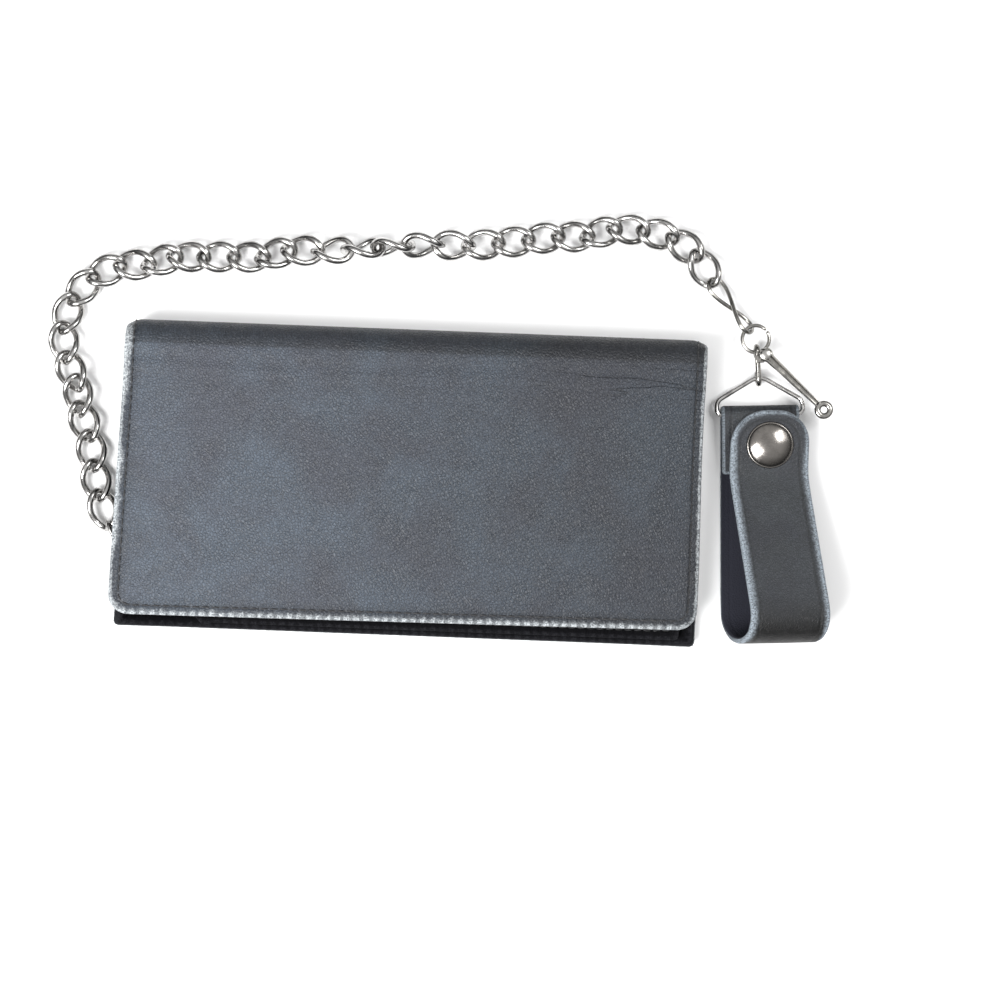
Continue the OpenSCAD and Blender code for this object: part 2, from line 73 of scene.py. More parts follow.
# cover: back, spine and flap; s runs along it from the back's bottom edge
back_low, back_high = box_mm("cover_back")
_, flap_high = box_mm("cover_flap")
half_w = back_high[0]
bottom_y = back_low[1]
spine_y = back_high[1]
mid_z = flap_high[2] / 2
bend_y = spine_y - mid_z
leather_t = 1.5
lining_t = 0.8
flap_slope = math.radians(3)
flap_short = 4.6
flap_tilt = -0.8
corner_r = 6
edge_lift = 2.6  # rise of the back's left and right edges, over the width lift_w
lift_w = 18
flat_half = half_w - lift_w
flap_l = (bend_y - bottom_y - flap_short) / math.cos(flap_slope) - mid_z * math.sin(flap_slope)
flap_drop = 0.6  # fall of the flap's left and right edges
rim_r = mid_z - leather_t / 2
back_l = bend_y - bottom_y
arc_l = rim_r * (math.pi + flap_slope)
flap_start = back_l + arc_l
cover_l = flap_start + flap_l

# inner sheets of the back
inner_half = 84
inner_bottom = bottom_y + 2
seam_w = 3
corner_cut = 20
lining_z = leather_t
divider_z = lining_z + lining_t + 0.8
pocket_z = divider_z + lining_t + 0.8
coin_z = pocket_z + lining_t + 1.0
coin_t = 1.0
coin_top = coin_z + coin_t

# zip and snaps
zip_y = 26
zip_w = 132
slot_h = 3.2
tape_t = 0.4
tape_h = 12
snap_x = 60
snap_in = 13
snap_along = flap_l - snap_in
socket_rho = mid_z - leather_t - lining_t

# eyelet, on the lifted edge of the back
eyelet_at = np.array([-84.9, -31.2])
edge_tilt = math.atan(edge_lift / lift_w)
eyelet_z = edge_lift * (-eyelet_at[0] - flat_half) / lift_w
stack_t = leather_t + lining_t
eyelet_hole = 2.75

# chain links and ring
link_wire = 2.2
link_pitch = 9.3
link_half_w = 4
link_play = 0.65
link_twist = math.radians(45)
link_half_l = (link_pitch + link_wire + link_play) / 2
slim_wire = 1.3
ring_low, ring_high = box_mm("joining_ring")
ring_centre = (ring_low + ring_high) / 2
ring_wire = 1.2
ring_mid_r = (ring_high[0] - ring_low[0] - ring_wire) / 2

# belt loop, seen from the side: the return layer, the D-ring's bar and the tongue above
loop_w = 24.2
loop_t = 2.0
loop_tilt = math.radians(3.2)
loop_lean = 0.5
bar_centre = np.array([106.6, 25.5])
dring_z = 2.85
dring_wire = 1.45
fold_mid = 1.85
bend_r = 8
bend_s = 61.5
pinch_s = 18.5
cap_s = 9.6
cap_r = 7.2
return_end_z = 2.85
return_slope = math.atan((dring_z + fold_mid - return_end_z) / pinch_s)
layer_rise = loop_t / math.cos(return_slope) + 2.0
tongue_end_z = return_end_z + layer_rise
tongue_cap_z = return_end_z + (pinch_s - cap_s) * math.tan(return_slope) + layer_rise
fold_l = math.hypot(pinch_s, dring_z + fold_mid - return_end_z) + math.pi * fold_mid

# seams
stitch_step = 2.9
stitch_in = 2.9

# ---- small geometry helpers


def ease(t):
    t = np.clip(t, 0.0, 1.0)
    return t * t * (3 - 2 * t)


def unit(v):
    v = np.asarray(v, float)
    return v / np.maximum(np.linalg.norm(v, axis=-1, keepdims=True), 1e-12)


def move(x, y, z):
    m = np.eye(4)
    m[:3, 3] = x, y, z
    return m


def turn(axis, angle):
    c, s = math.cos(angle), math.sin(angle)
    m = np.eye(4)
    a, b = {"x": (1, 2), "y": (2, 0), "z": (0, 1)}[axis]
    m[a, a] = m[b, b] = c
    m[a, b], m[b, a] = -s, s
    return m


def put(matrix, points):
    points = np.asarray(points, float)
    return points @ matrix[:3, :3].T + matrix[:3, 3]


def arc(centre, r, start, stop, n):
    """Points in a plane round a centre, angles in degrees."""
    a = np.radians(np.linspace(start, stop, n + 1))
    return np.stack([centre[0] + r * np.cos(a), centre[1] + r * np.sin(a)], 1)


def rounded(points, radii, n):
    """Closed outline with every corner rounded."""
    points = np.asarray(points, float)
    out = []
    for i, r in enumerate(radii):
        a, b, c = points[i - 1], points[i], points[(i + 1) % len(points)]
        u, v = unit(a - b), unit(c - b)
        half = math.acos(u @ v) / 2
        centre = b + unit(u + v) * r / math.sin(half)
        p, q = b + u * r / math.tan(half) - centre, b + v * r / math.tan(half) - centre
        span = math.pi - 2 * half
        for f in np.linspace(0, 1, n + 1):
            out.append(centre + (p * math.sin((1 - f) * span) + q * math.sin(f * span)) / math.sin(span))
    return np.array(out)


def corners(x0, x1, y0, y1):
    return [[x0, y0], [x1, y0], [x1, y1], [x0, y1]]


def mirrored(left):
    """A section's left half, followed by its mirror image."""
    return left + [(-y, z) for y, z in reversed(left)]


def upright(flat):
    flat = np.asarray(flat)
    return np.stack([flat[:, 0], np.zeros(len(flat)), flat[:, 1]], 1)


def level(flat, z=0.0):
    flat = np.asarray(flat)
    return np.stack([flat[:, 0], flat[:, 1], np.full(len(flat), z)], 1)


def distances(points):
    """How far along a line each of its points is."""
    return np.concatenate([[0], np.cumsum(np.linalg.norm(np.diff(points, axis=0), axis=1))])


def resample(points, step, closed=False):
    """Points an even distance apart along a line, with the distance of each."""
    points = np.asarray(points, float)
    if closed:
        points = np.vstack([points, points[:1]])
    run = distances(points)
    n = max(2, round(run[-1] / step))
    at = np.linspace(0, run[-1], n + 1)[: n if closed else n + 1]
    return np.stack([np.interp(at, run, points[:, k]) for k in range(points.shape[1])], 1), at


def soften(points, passes):
    """Evens out the corners of an open line and keeps its ends."""
    points = points.copy()
    for _ in range(passes):
        points[1:-1] = (points[:-2] + 2 * points[1:-1] + points[2:]) / 4
    return points


def tube_faces(count, sides, closed=False):
    """Faces round rows of points, with a cap on each end of an open tube."""
    faces = []
    for i in range(count if closed else count - 1):
        j = (i + 1) % count
        for k in range(sides):
            n = (k + 1) % sides
            faces.append((i * sides + k, j * sides + k, j * sides + n, i * sides + n))
    if not closed:
        faces.append(tuple(range(sides)))
        faces.append(tuple((count - 1) * sides + k for k in reversed(range(sides))))
    return faces


def sweep(points, radius, up, closed=False, sides=14):
    """Round wire along a line: (vertices, faces). radius may be a list with one value a point."""
    points = np.asarray(points, float)
    count = len(points)
    before = np.roll(points, 1, 0) if closed else np.vstack([points[:1], points[:-1]])
    after = np.roll(points, -1, 0) if closed else np.vstack([points[1:], points[-1:]])
    t = unit(after - before)
    up = np.broadcast_to(np.asarray(up, float), points.shape)
    u = unit(up - t * (up * t).sum(1, keepdims=True))
    w = np.cross(t, u)
    a = 2 * math.pi * (np.arange(sides) + 0.5) / sides
    r = np.broadcast_to(np.asarray(radius, float), (count,))[:, None, None]
    ring = np.cos(a)[None, :, None] * u[:, None, :] + np.sin(a)[None, :, None] * w[:, None, :]
    verts = (points[:, None, :] + r * ring).reshape(-1, 3)
    return verts, tube_faces(count, sides, closed)


def round_ends(points, radius):
    """Radii along an open line that ends in two round tips."""
    run = distances(points)
    edge = np.minimum(run, run[-1] - run) / radius
    return radius * np.sqrt(np.clip(1 - (1 - np.clip(edge, 0.05, 1)) ** 2, 0.0, 1))


def lathe(profile, segments=40):
    """Turned solid about Z from (radius, height) points: (vertices, faces). Ends on the axis are closed."""
    verts, rows = [], []
    for r, z in profile:
        if r < 1e-6:
            rows.append([len(verts)])
            verts.append((0, 0, z))
        else:
            rows.append([len(verts) + k for k in range(segments)])
            for k in range(segments):
                a = 2 * math.pi * k / segments
                verts.append((r * math.cos(a), r * math.sin(a), z))
    faces = []
    for one, two in zip(rows, rows[1:]):
        for k in range(segments):
            n = (k + 1) % segments
            a, b = one[k % len(one)], one[n % len(one)]
            c, d = two[n % len(two)], two[k % len(two)]
            corners = []
            for v in (a, b, c, d):
                if v not in corners:
                    corners.append(v)
            if len(corners) > 2:
                faces.append(tuple(corners))
    return np.array(verts, float), faces


def washer_profile(hole, rim, low, high, soft):
    """Closed (radius, height) outline of a ring with softened edges."""
    return [
        (hole, low + soft), (hole + soft, low), (rim - soft, low), (rim, low + soft),
        (rim, high - soft), (rim - soft, high), (hole + soft, high), (hole, high - soft), (hole, low + soft),
    ]


def block(low, high, soft, segments=2):
    """Box with rounded edges: (vertices, faces)."""
    low, high = np.asarray(low, float), np.asarray(high, float)
    bm = bmesh.new()
    bmesh.ops.create_cube(bm, size=1)
    for v in bm.verts:
        v.co = Vector((low + high) / 2 + np.array(v.co) * (high - low))
    bmesh.ops.bevel(bm, geom=list(bm.edges), offset=soft, segments=segments, profile=0.5, affect="EDGES")
    verts = np.array([v.co[:] for v in bm.verts])
    faces = [tuple(v.index for v in f.verts) for f in bm.faces]
    bm.free()
    return verts, faces


def shaped(profile, stations):
    """Solid whose section (y, z) is carried along X: stations are (x, y scale, z low, z high)."""
    verts = [(x, y * wide, low + z * (high - low)) for x, wide, low, high in stations for y, z in profile]
    return np.array(verts), tube_faces(len(stations), len(profile))


def merge(*parts):
    verts, faces, shift = [], [], 0
    for v, f in parts:
        verts.append(np.asarray(v, float))
        faces += [tuple(i + shift for i in face) for face in f]
        shift += len(v)
    return np.vstack(verts), faces


def placed(matrix, part):
    return put(matrix, part[0]), part[1]


# ---- meshes and pieces


def linked(name, data):
    obj = bpy.data.objects.new(name, data)
    scene.collection.objects.link(obj)
    return obj


def make(name, part, material, attributes=None):
    """Object from (vertices, faces) in millimetres, with outward faces and smooth shading."""
    verts, faces = part
    mesh = bpy.data.meshes.new(name)
    mesh.from_pydata((np.asarray(verts) * MM).tolist(), [], faces)
    for key, values in (attributes or {}).items():
        values = np.asarray(values, np.float32)
        if values.ndim == 2:
            mesh.attributes.new(key, "FLOAT_VECTOR", "POINT").data.foreach_set("vector", values.ravel())
        else:
            mesh.attributes.new(key, "FLOAT", "POINT").data.foreach_set("value", values)
    bm = bmesh.new()
    bm.from_mesh(mesh)
    bmesh.ops.recalc_face_normals(bm, faces=bm.faces)
    bm.to_mesh(mesh)
    bm.free()
    mesh.polygons.foreach_set("use_smooth", [True] * len(mesh.polygons))
    mesh.set_sharp_from_angle(angle=math.radians(50))
    mesh.materials.append(material)
    return linked(name, mesh)


def piece(name, part, material, body, slot, *nodes, attributes=None):
    """Object that rides one body and stands in for the CAD's nodes."""
    obj = make(name, part, material, attributes)
    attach(obj, body)
    if nodes:
        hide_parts(*nodes)


def sheet_piece(name, sheet, thick, material, body, slot, *nodes, rows=None):
    part, attributes = sheet.solid(thick, rows)
    piece(name, part, material, body, slot, *nodes, attributes=attributes)


# ---- leather panels


def open_edges(faces):
    """Edges that have a face on one side only, each in its face's direction."""
    edges = dict.fromkeys((a, b) for f in faces for a, b in zip(f, f[1:] + f[:1]))
    return [(a, b) for a, b in edges if (b, a) not in edges]


class Sheet:
    """Grid over a rectangle in flat coordinates, laid out in space by place(x, s). radii rounds its corners
    at s0 and at s1, shear moves its points within the flat, and flip puts its outside on the other side."""

    def __init__(self, x0, x1, s0, s1, step, radii, place, flip=False, shear=None):
        columns = max(2, round((x1 - x0) / step))
        rows = max(2, round((s1 - s0) / step))
        x, s = np.meshgrid(np.linspace(x0, x1, columns + 1), np.linspace(s0, s1, rows + 1))
        for cx, cs, sx, ss, r in (
            (x0, s0, -1, -1, radii[0]), (x1, s0, 1, -1, radii[0]),
            (x1, s1, 1, 1, radii[1]), (x0, s1, -1, 1, radii[1]),
        ):
            if not r:
                continue
            a, b = (x - cx) * sx / r + 1, (s - cs) * ss / r + 1
            inside = (a > 0) & (b > 0)
            wide = a * np.sqrt(np.clip(1 - b * b / 2, 0, 1))
            tall = b * np.sqrt(np.clip(1 - a * a / 2, 0, 1))
            x = np.where(inside, cx + sx * r * (wide - 1), x)
            s = np.where(inside, cs + ss * r * (tall - 1), s)
        if shear:
            x, s = shear(x, s)
        self.flat = np.stack([x.ravel(), s.ravel()], 1)
        self.shape = (rows + 1, columns + 1)
        self.place = place
        self.flip = flip
        self.faces = []
        for i in range(rows):
            for j in range(columns):
                a = i * (columns + 1) + j
                quad = (a, a + 1, a + columns + 2, a + columns + 1)
                self.faces.append(quad[::-1] if flip else quad)

    def cut(self, keep):
        """Removes the cells whose middle fails keep(x, s)."""
        middles = self.flat[np.array(self.faces)].mean(1)
        kept = keep(middles[:, 0], middles[:, 1])
        self.faces = [f for f, k in zip(self.faces, kept) if k]
        return self

    def punch(self, centre, r):
        """Round hole, with the cells' corners drawn onto its edge."""
        centre = np.asarray(centre, float)
        self.cut(lambda x, s: np.hypot(x - centre[0], s - centre[1]) > r * 0.95)
        used = set(i for f in self.faces for i in f)
        for i in self.border_points():
            off = self.flat[i] - centre
            if i in used and np.hypot(*off) < 2 * r:
                self.flat[i] = centre + off / np.hypot(*off) * r
        return self

    def border_points(self):
        return sorted({i for e in open_edges(self.faces) for i in e})

    def loops(self):
        following = dict(open_edges(self.faces))
        out = []
        while following:
            start = next(iter(following))
            loop, at = [], start
            while at in following:
                loop.append(at)
                at = following.pop(at)
            out.append(loop)
        return out

    def measure(self, worn):
        """For each point: distance to the panel's edge, how far round the edge it is, wear, place, normal."""
        samples = []
        for loop in self.loops():
            pts, run = resample(self.flat[loop], 0.3, closed=True)
            samples += [(p, r) for p, r in zip(pts, run)]
        tree = kdtree.KDTree(len(samples))
        for i, (p, _) in enumerate(samples):
            tree.insert((p[0], p[1], 0), i)
        tree.balance()
        self.border = np.zeros(len(self.flat))
        self.run = np.zeros(len(self.flat))
        for i, p in enumerate(self.flat):
            _, index, distance = tree.find((p[0], p[1], 0))
            self.border[i] = distance
            self.run[i] = samples[index][1]
        self.border[self.border_points()] = 0
        self.wear = worn(self.flat[:, 0], self.flat[:, 1])
        self.mid = self.place(self.flat[:, 0], self.flat[:, 1])
        quads = np.array(self.faces)
        at = self.mid[quads]
        face_normals = np.cross(at[:, 2] - at[:, 0], at[:, 3] - at[:, 1])
        self.normal = np.zeros_like(self.mid)
        for k in range(4):
            np.add.at(self.normal, quads[:, k], face_normals)
        self.normal = unit(self.normal)
        return self

    def solid(self, thick, rows=None):
        """((vertices, faces), attributes) of the panel with its thickness and rounded edges.
        rows takes only those grid rows, and its cut ends stay square so that they meet the next piece."""
        width = self.shape[1]
        faces = self.faces
        if rows:
            faces = [f for f in faces if rows[0] <= min(f) // width and max(f) // width <= rows[1]]
        used = sorted({i for f in faces for i in f})
        index = {v: i for i, v in enumerate(used)}
        count = len(used)
        mid, normal = self.mid[used], self.normal[used]
        faces = [tuple(index[i] for i in f) for f in faces]
        row_of = [i // width for i in used]
        cut_rows = set(rows or ()) - {0, self.shape[0] - 1}
        rim = open_edges(faces)
        seams = [(a, b) for a, b in rim if row_of[a] == row_of[b] and row_of[a] in cut_rows]
        free = [e for e in rim if e not in seams]
        outward = np.zeros_like(mid)
        for a, b in free:
            o = np.cross(mid[b] - mid[a], normal[a] + normal[b])
            outward[a] += unit(o)
            outward[b] += unit(o)
        outward = unit(outward)
        on_rim = sorted({i for e in free for i in e})
        half = thick / 2
        segments = 4
        inset = np.zeros(count)
        inset[on_rim] = 0.9 * half
        centre = mid - outward * inset[:, None]
        verts = [centre + normal * half, centre - normal * half]
        origin = [np.arange(count), np.arange(count)]
        side = [np.ones(count), -np.ones(count)]
        out = list(faces) + [tuple(i + count for i in reversed(f)) for f in faces]
        chain = {}
        base = 2 * count
        for k, i in enumerate(on_rim):
            chain[i] = [i] + [base + k * (segments - 1) + j for j in range(segments - 1)] + [i + count]
            for j in range(1, segments):
                a = math.pi * (0.5 - j / segments)
                point = centre[i] + outward[i] * inset[i] * math.cos(a) + normal[i] * half * math.sin(a)
                verts.append(point[None])
                side.append(np.array([math.sin(a)]))
                origin.append(np.array([i]))
        for a, b in free:
            for j in range(segments):
                out.append((chain[b][j], chain[a][j], chain[a][j + 1], chain[b][j + 1]))
        for r in sorted({row_of[a] for a, _ in seams}):
            row = [i for i in range(count) if row_of[i] == r]
            left, right = row[0], row[-1]
            loop = row + chain[right][1:] + [i + count for i in reversed(row[:-1])] + chain[left][1:-1][::-1]
            out.append(tuple(loop))
        origin = np.concatenate(origin)
        flat = self.flat[used][origin]
        side = np.concatenate(side)
        attributes = {
            "flat": np.stack([flat[:, 0], flat[:, 1], side], 1),
            "border": self.border[used][origin],
            "run": self.run[used][origin],
            "wear": self.wear[used][origin],
        }
        return (np.vstack(verts), out), attributes

    def on_surface(self, path, lift):
        """Points over the panel's middle surface, moved out along its normal."""
        x, s = path[:, 0], path[:, 1]
        d = 0.05
        at = self.place(x, s)
        across = self.place(x + d, s) - self.place(x - d, s)
        along = self.place(x, s + d) - self.place(x, s - d)
        n = unit(np.cross(across, along)) * (-1 if self.flip else 1)
        return at + n * np.asarray(lift)[:, None], n


def stitches(sheet, path, surface, thread=0.22):
    """Sewn thread along a flat path on a panel: (vertices, faces). surface is the skin's height there."""
    fine, run = resample(path, 0.1)
    parts = []
    start, stitch_l = 0.5, 0.7 * stitch_step
    count = int((run[-1] - start) / stitch_step)
    for i in range(count):
        a = start + i * stitch_step
        at = np.linspace(a, a + stitch_l, 7)
        flat = np.stack([np.interp(at, run, fine[:, k]) for k in range(2)], 1)
        f = np.linspace(0, 1, 7)
        lift = surface + thread * (1.25 * np.sin(math.pi * f) - 0.75)
        points, n = sheet.on_surface(flat, lift)
        parts.append(sweep(points, thread, n, sides=6))
    return merge(*parts)


def u_path(x0, x1, s0, s1, r):
    """Down the left side, round a corner, along the end, round a corner and up the right side."""
    left = arc((x0 + r, s1 - r), r, 180, 90, 8)
    right = arc((x1 - r, s1 - r), r, 90, 0, 8)
    return np.vstack([[[x0, s0]], left, right, [[x1, s0]]])


# ---- materials


class Shader:
    """Short way to write a node tree."""

    def __init__(self, name):
        self.material = bpy.data.materials.new(name)
        self.material.use_nodes = True
        self.tree = self.material.node_tree
        self.bsdf = self.tree.nodes["Principled BSDF"]

    def add(self, kind, inputs=None, **settings):
        node = self.tree.nodes.new(kind)
        for key, value in settings.items():
            setattr(node, key, value)
        for key, value in (inputs or {}).items():
            self.set(node, key, value)
        return node

    def set(self, node, key, value):
        if isinstance(value, bpy.types.NodeSocket):
            self.tree.links.new(value, node.inputs[key])
        else:
            node.inputs[key].default_value = value

    def shade(self, **values):
        for key, value in values.items():
            self.set(self.bsdf, key.replace("_", " "), value)

    def math(self, operation, a, b=0.0):
        return self.add("ShaderNodeMath", {0: a, 1: b}, operation=operation).outputs[0]

    def times(self, a, b):
        return self.math("MULTIPLY", a, b)

    def plus(self, a, b):
        return self.math("ADD", a, b)

    def minus(self, a, b):
        return self.math("SUBTRACT", a, b)

    def faded(self, value, by, amount=1.0):
        """The value, less a share of itself where by is 1."""
        return self.times(value, self.minus(1.0, self.times(by, amount)))

    def range(self, value, low, high, to_low=0.0, to_high=1.0):
        inputs = {"Value": value, "From Min": low, "From Max": high, "To Min": to_low, "To Max": to_high}
        node = self.add("ShaderNodeMapRange", inputs, interpolation_type="SMOOTHSTEP")
        return node.outputs["Result"]

    def near(self, value, aim, low, high):
        """1 where the value is within low of the aim, 0 from high on."""
        return self.range(self.math("ABSOLUTE", self.minus(value, aim)), low, high, 1.0, 0.0)

    def band(self, value, low, high, fade_in, fade_out):
        """1 from low + fade_in to high - fade_out, 0 below low and above high."""
        return self.times(self.range(value, low, low + fade_in),
                          self.range(value, high - fade_out, high, 1.0, 0.0))

    def mix(self, factor, a, b):
        node = self.add("ShaderNodeMix", data_type="RGBA")
        for socket, value in ((0, factor), (6, a), (7, b)):
            if not isinstance(value, bpy.types.NodeSocket) and socket:
                value = (*value, 1.0)
            self.set(node, socket, value)
        return node.outputs[2]

    def noise(self, vector, scale, detail=3.0, rough=0.55, distortion=0.0):
        inputs = {"Vector": vector, "Scale": scale, "Detail": detail, "Roughness": rough,
                  "Distortion": distortion}
        return self.add("ShaderNodeTexNoise", inputs).outputs["Fac"]

    def scaled(self, vector, amounts):
        return self.add("ShaderNodeVectorMath", {0: vector, 1: amounts}, operation="MULTIPLY").outputs[0]

    def attribute(self, name, vector=False):
        node = self.add("ShaderNodeAttribute", attribute_name=name)
        return node.outputs["Vector" if vector else "Fac"]

    def bump(self, height, depth, strength):
        inputs = {"Height": height, "Distance": depth * MM, "Strength": strength}
        return self.add("ShaderNodeBump", inputs).outputs["Normal"]


def shade_of(colour, amount):
    return tuple(c * amount for c in colour)


def leather(name, base, tint, worn, flesh, cell, depth, rough, shine=0.4, creases=None, painted_shade_band=None,
            fray=4.2, painted_falloff=0.0, ticks=True):
    """Pebbled leather: base and tint are its two tones, worn is the rubbed edge, flesh the back face.
    cell is the size of a pebble, depth the height of the bumps; the crevices between pebbles are painted
    darker, as painted shade. creases is the range of s with fold lines, which are painted darker too, as
    painted shade in the folds. burnish is a band of painted shade where the leather turns away from the
    light: first and last s, the widths over which it fades in and out, and how dark it is. fray is how
    irregular the rubbed edge is. polish is painted shade: how much darker the right half is than the
    left half, where the key light falls off, with a band along the edges darker too. ticks draws the
    pulled-in leather at each stitch. The stitch groove is painted darker, as painted shade."""
    sh = Shader(name)
    place = sh.attribute("flat", vector=True)
    across, along, side = sh.add("ShaderNodeSeparateXYZ", {0: place}).outputs
    border, run, wear = (sh.attribute(k) for k in ("border", "run", "wear"))
    outside = sh.range(side, -0.75, -0.35)

    wander = sh.noise(place, 0.5 / cell, 2.0)
    shifted = sh.add("ShaderNodeVectorMath", {0: place, 1: wander}, operation="ADD").outputs[0]
    pebble = sh.add("ShaderNodeTexVoronoi", {"Vector": shifted, "Scale": 1 / cell, "Randomness": 0.95},
                    feature="DISTANCE_TO_EDGE").outputs["Distance"]
    dome = sh.range(pebble, 0.0, 0.30)
    fine = sh.noise(place, 2.6 / cell, 3.0, 0.6)
    broad = sh.noise(place, 0.028, 3.0, 0.6, 0.4)
    patch = sh.noise(place, 0.11, 4.0, 0.6)

    tone = sh.mix(sh.range(broad, 0.36, 0.66), base, tint)
    # darker in the crevices between pebbles: painted shade in the grain's hollows
    tone = sh.mix(sh.range(pebble, 0.0, 0.2, 0.45, 1.0), shade_of(base, 0.35), tone)
    strength = sh.times(sh.range(patch, 0.30, 0.72, 0.86, 1.14), sh.range(fine, 0.30, 0.72, 0.58, 1.45))
    if painted_falloff:
        # painted shade: the right half darker than the left half, where the key light falls off, and a band
        # along the edges darker too
        strength = sh.times(strength, sh.range(across, -half_w, half_w, 1 + painted_falloff * 0.3, 1 - painted_falloff))
        strength = sh.times(strength, sh.range(border, 1.5, 6.5, 0.62, 1.0))

    height = sh.plus(sh.times(dome, 0.75), sh.times(fine, 0.35))
    height = sh.plus(height, sh.times(patch, 0.9))
    if creases:
        low, high = creases
        ridged = sh.noise(sh.scaled(place, (0.016, 0.22, 0.0)), 1.0, 2.0, 0.5, 0.6)
        line = sh.times(sh.near(ridged, 0.5, 0.0, 0.022), sh.band(along, low, high, 2, 3))
        line = sh.times(line, sh.range(across, 20, 70, 0.15, 1.0))
        height = sh.minus(height, sh.times(line, 0.9))
        # the fold lines are painted darker too: painted shade in the creases
        strength = sh.faded(strength, line, 0.45)
    if painted_shade_band:
        # painted shade over this band of s, where the leather turns away from the light
        *stretch, amount = painted_shade_band
        strength = sh.faded(strength, sh.band(along, *stretch), amount)

    ragged = sh.noise(place, 0.8, 4.0, 0.75)
    speck = sh.noise(place, 2.4, 2.0, 0.6)
    uneven = sh.minus(ragged, 0.5)
    reach = sh.plus(border, sh.times(uneven, fray))
    reach = sh.math("DIVIDE", reach, sh.math("MAXIMUM", wear, 0.1))
    rubbed = sh.range(reach, 0.4, 3.3, 1.0, 0.0)
    ditch = sh.near(border, stitch_in, 0.1, 0.7)
    height = sh.minus(height, sh.times(ditch, 0.9))
    # the stitch groove is painted darker too: painted shade in the groove
    strength = sh.faded(strength, ditch, 0.35)
    if ticks:
        wave = sh.math("SINE", sh.times(run, 2 * math.pi / stitch_step))
        wave = sh.plus(wave, sh.times(uneven, 2.4))
        near_edge = sh.range(border, 2.2, 3.6, 1.0, 0.0)
        held = sh.times(near_edge, sh.minus(1.0, sh.range(wave, -0.9, 0.3)))
        height = sh.minus(height, sh.times(held, 0.9))
        away = sh.range(sh.math("ABSOLUTE", across), half_w - 7, half_w - 4, 0.6, 0.12)
        rubbed = sh.faded(rubbed, held, away)
    rubbed = sh.times(rubbed, sh.range(speck, 0.36, 0.60, 0.25, 1.1))
    rubbed = sh.math("MINIMUM", sh.times(rubbed, sh.range(wear, 0.0, 0.9, 0.4, 1.0)), 1.0)

    shade = sh.add("ShaderNodeVectorMath", {0: tone, 1: strength}, operation="MULTIPLY").outputs[0]
    colour = sh.mix(rubbed, shade, worn)
    nap = sh.noise(place, 3.0, 4.0, 0.7)
    inside = sh.mix(sh.range(nap, 0.3, 0.7), shade_of(flesh, 0.6), flesh)
    colour = sh.mix(outside, inside, colour)
    gloss = sh.plus(sh.range(patch, 0.3, 0.7, rough - 0.05, rough + 0.07), sh.times(rubbed, 0.35))
    gloss = sh.math("MAXIMUM", gloss, sh.range(outside, 0.0, 1.0, 0.9, 0.0))
    height = sh.plus(height, sh.times(sh.times(rubbed, ragged), 1.2))
    sh.shade(Base_Color=colour, Roughness=gloss, Normal=sh.bump(height, depth, 0.8))
    sh.bsdf.inputs["Specular IOR Level"].default_value = shine
    return sh.material


def metal(name, colour, rough, grime):
    """Plated metal with slight unevenness, rubbed patches and fine scratches."""
    sh = Shader(name)
    place = sh.add("ShaderNodeTexCoord").outputs["Object"]
    cloud = sh.noise(place, 260.0, 3.0, 0.6)
    fine = sh.noise(sh.scaled(place, (900.0, 2600.0, 1500.0)), 1.0, 2.0, 0.6)
    tone = sh.mix(sh.range(cloud, 0.35, 0.62), shade_of(colour, 1 - grime), colour)
    gloss = sh.plus(sh.range(cloud, 0.3, 0.7, rough * 1.5, rough * 0.8),
                    sh.range(fine, 0.45, 0.8, 0.0, rough * 0.5))
    height = sh.plus(cloud, sh.times(fine, 0.15))
    sh.shade(Base_Color=tone, Metallic=1.0, Roughness=gloss, Normal=sh.bump(height, 0.02, 0.6))
    return sh.material


def woven(name, colour):
    """Close twill, for the zip's tape."""
    sh = Shader(name)
    place = sh.attribute("flat", vector=True)
    across, along, _ = sh.add("ShaderNodeSeparateXYZ", {0: place}).outputs
    yarn = 2 * math.pi / 0.7
    warp = sh.math("SINE", sh.times(sh.plus(across, along), yarn))
    weft = sh.math("SINE", sh.times(along, yarn * 1.3))
    height = sh.plus(warp, sh.times(weft, 0.6))
    fuzz = sh.noise(place, 2.0, 3.0)
    share = sh.times(sh.range(height, -1.4, 1.4), sh.range(fuzz, 0.2, 0.8))
    tone = sh.mix(share, colour, shade_of(colour, 2.1))
    sh.shade(Base_Color=tone, Roughness=0.9, Normal=sh.bump(height, 0.08, 0.7))
    sh.bsdf.inputs["Sheen Weight"].default_value = 0.25
    return sh.material


def sewing_thread(name, colour):
    sh = Shader(name)
    place = sh.add("ShaderNodeTexCoord").outputs["Object"]
    twist = sh.noise(sh.scaled(place, (2600.0, 2600.0, 900.0)), 1.0, 2.0)
    tone = sh.mix(sh.range(twist, 0.35, 0.7), colour, shade_of(colour, 2.4))
    sh.shade(Base_Color=tone, Roughness=0.62, Normal=sh.bump(twist, 0.06, 0.8))
    sh.bsdf.inputs["Sheen Weight"].default_value = 0.2
    return sh.material


cover_leather = leather(
    "cover_leather",
    (0.054, 0.068, 0.088), (0.043, 0.047, 0.060), (0.50, 0.53, 0.55), (0.012, 0.013, 0.016),
    cell=0.95, depth=0.18, rough=0.50, creases=(flap_start + 0.5, flap_start + 12),
    # painted shade: the band over the spine, which turns away from the light, and the right half darker than
    # the left, where the key light falls off
    painted_shade_band=(back_l - 2, flap_start + 0.4, 5, 1.4, 0.5), painted_falloff=0.46)
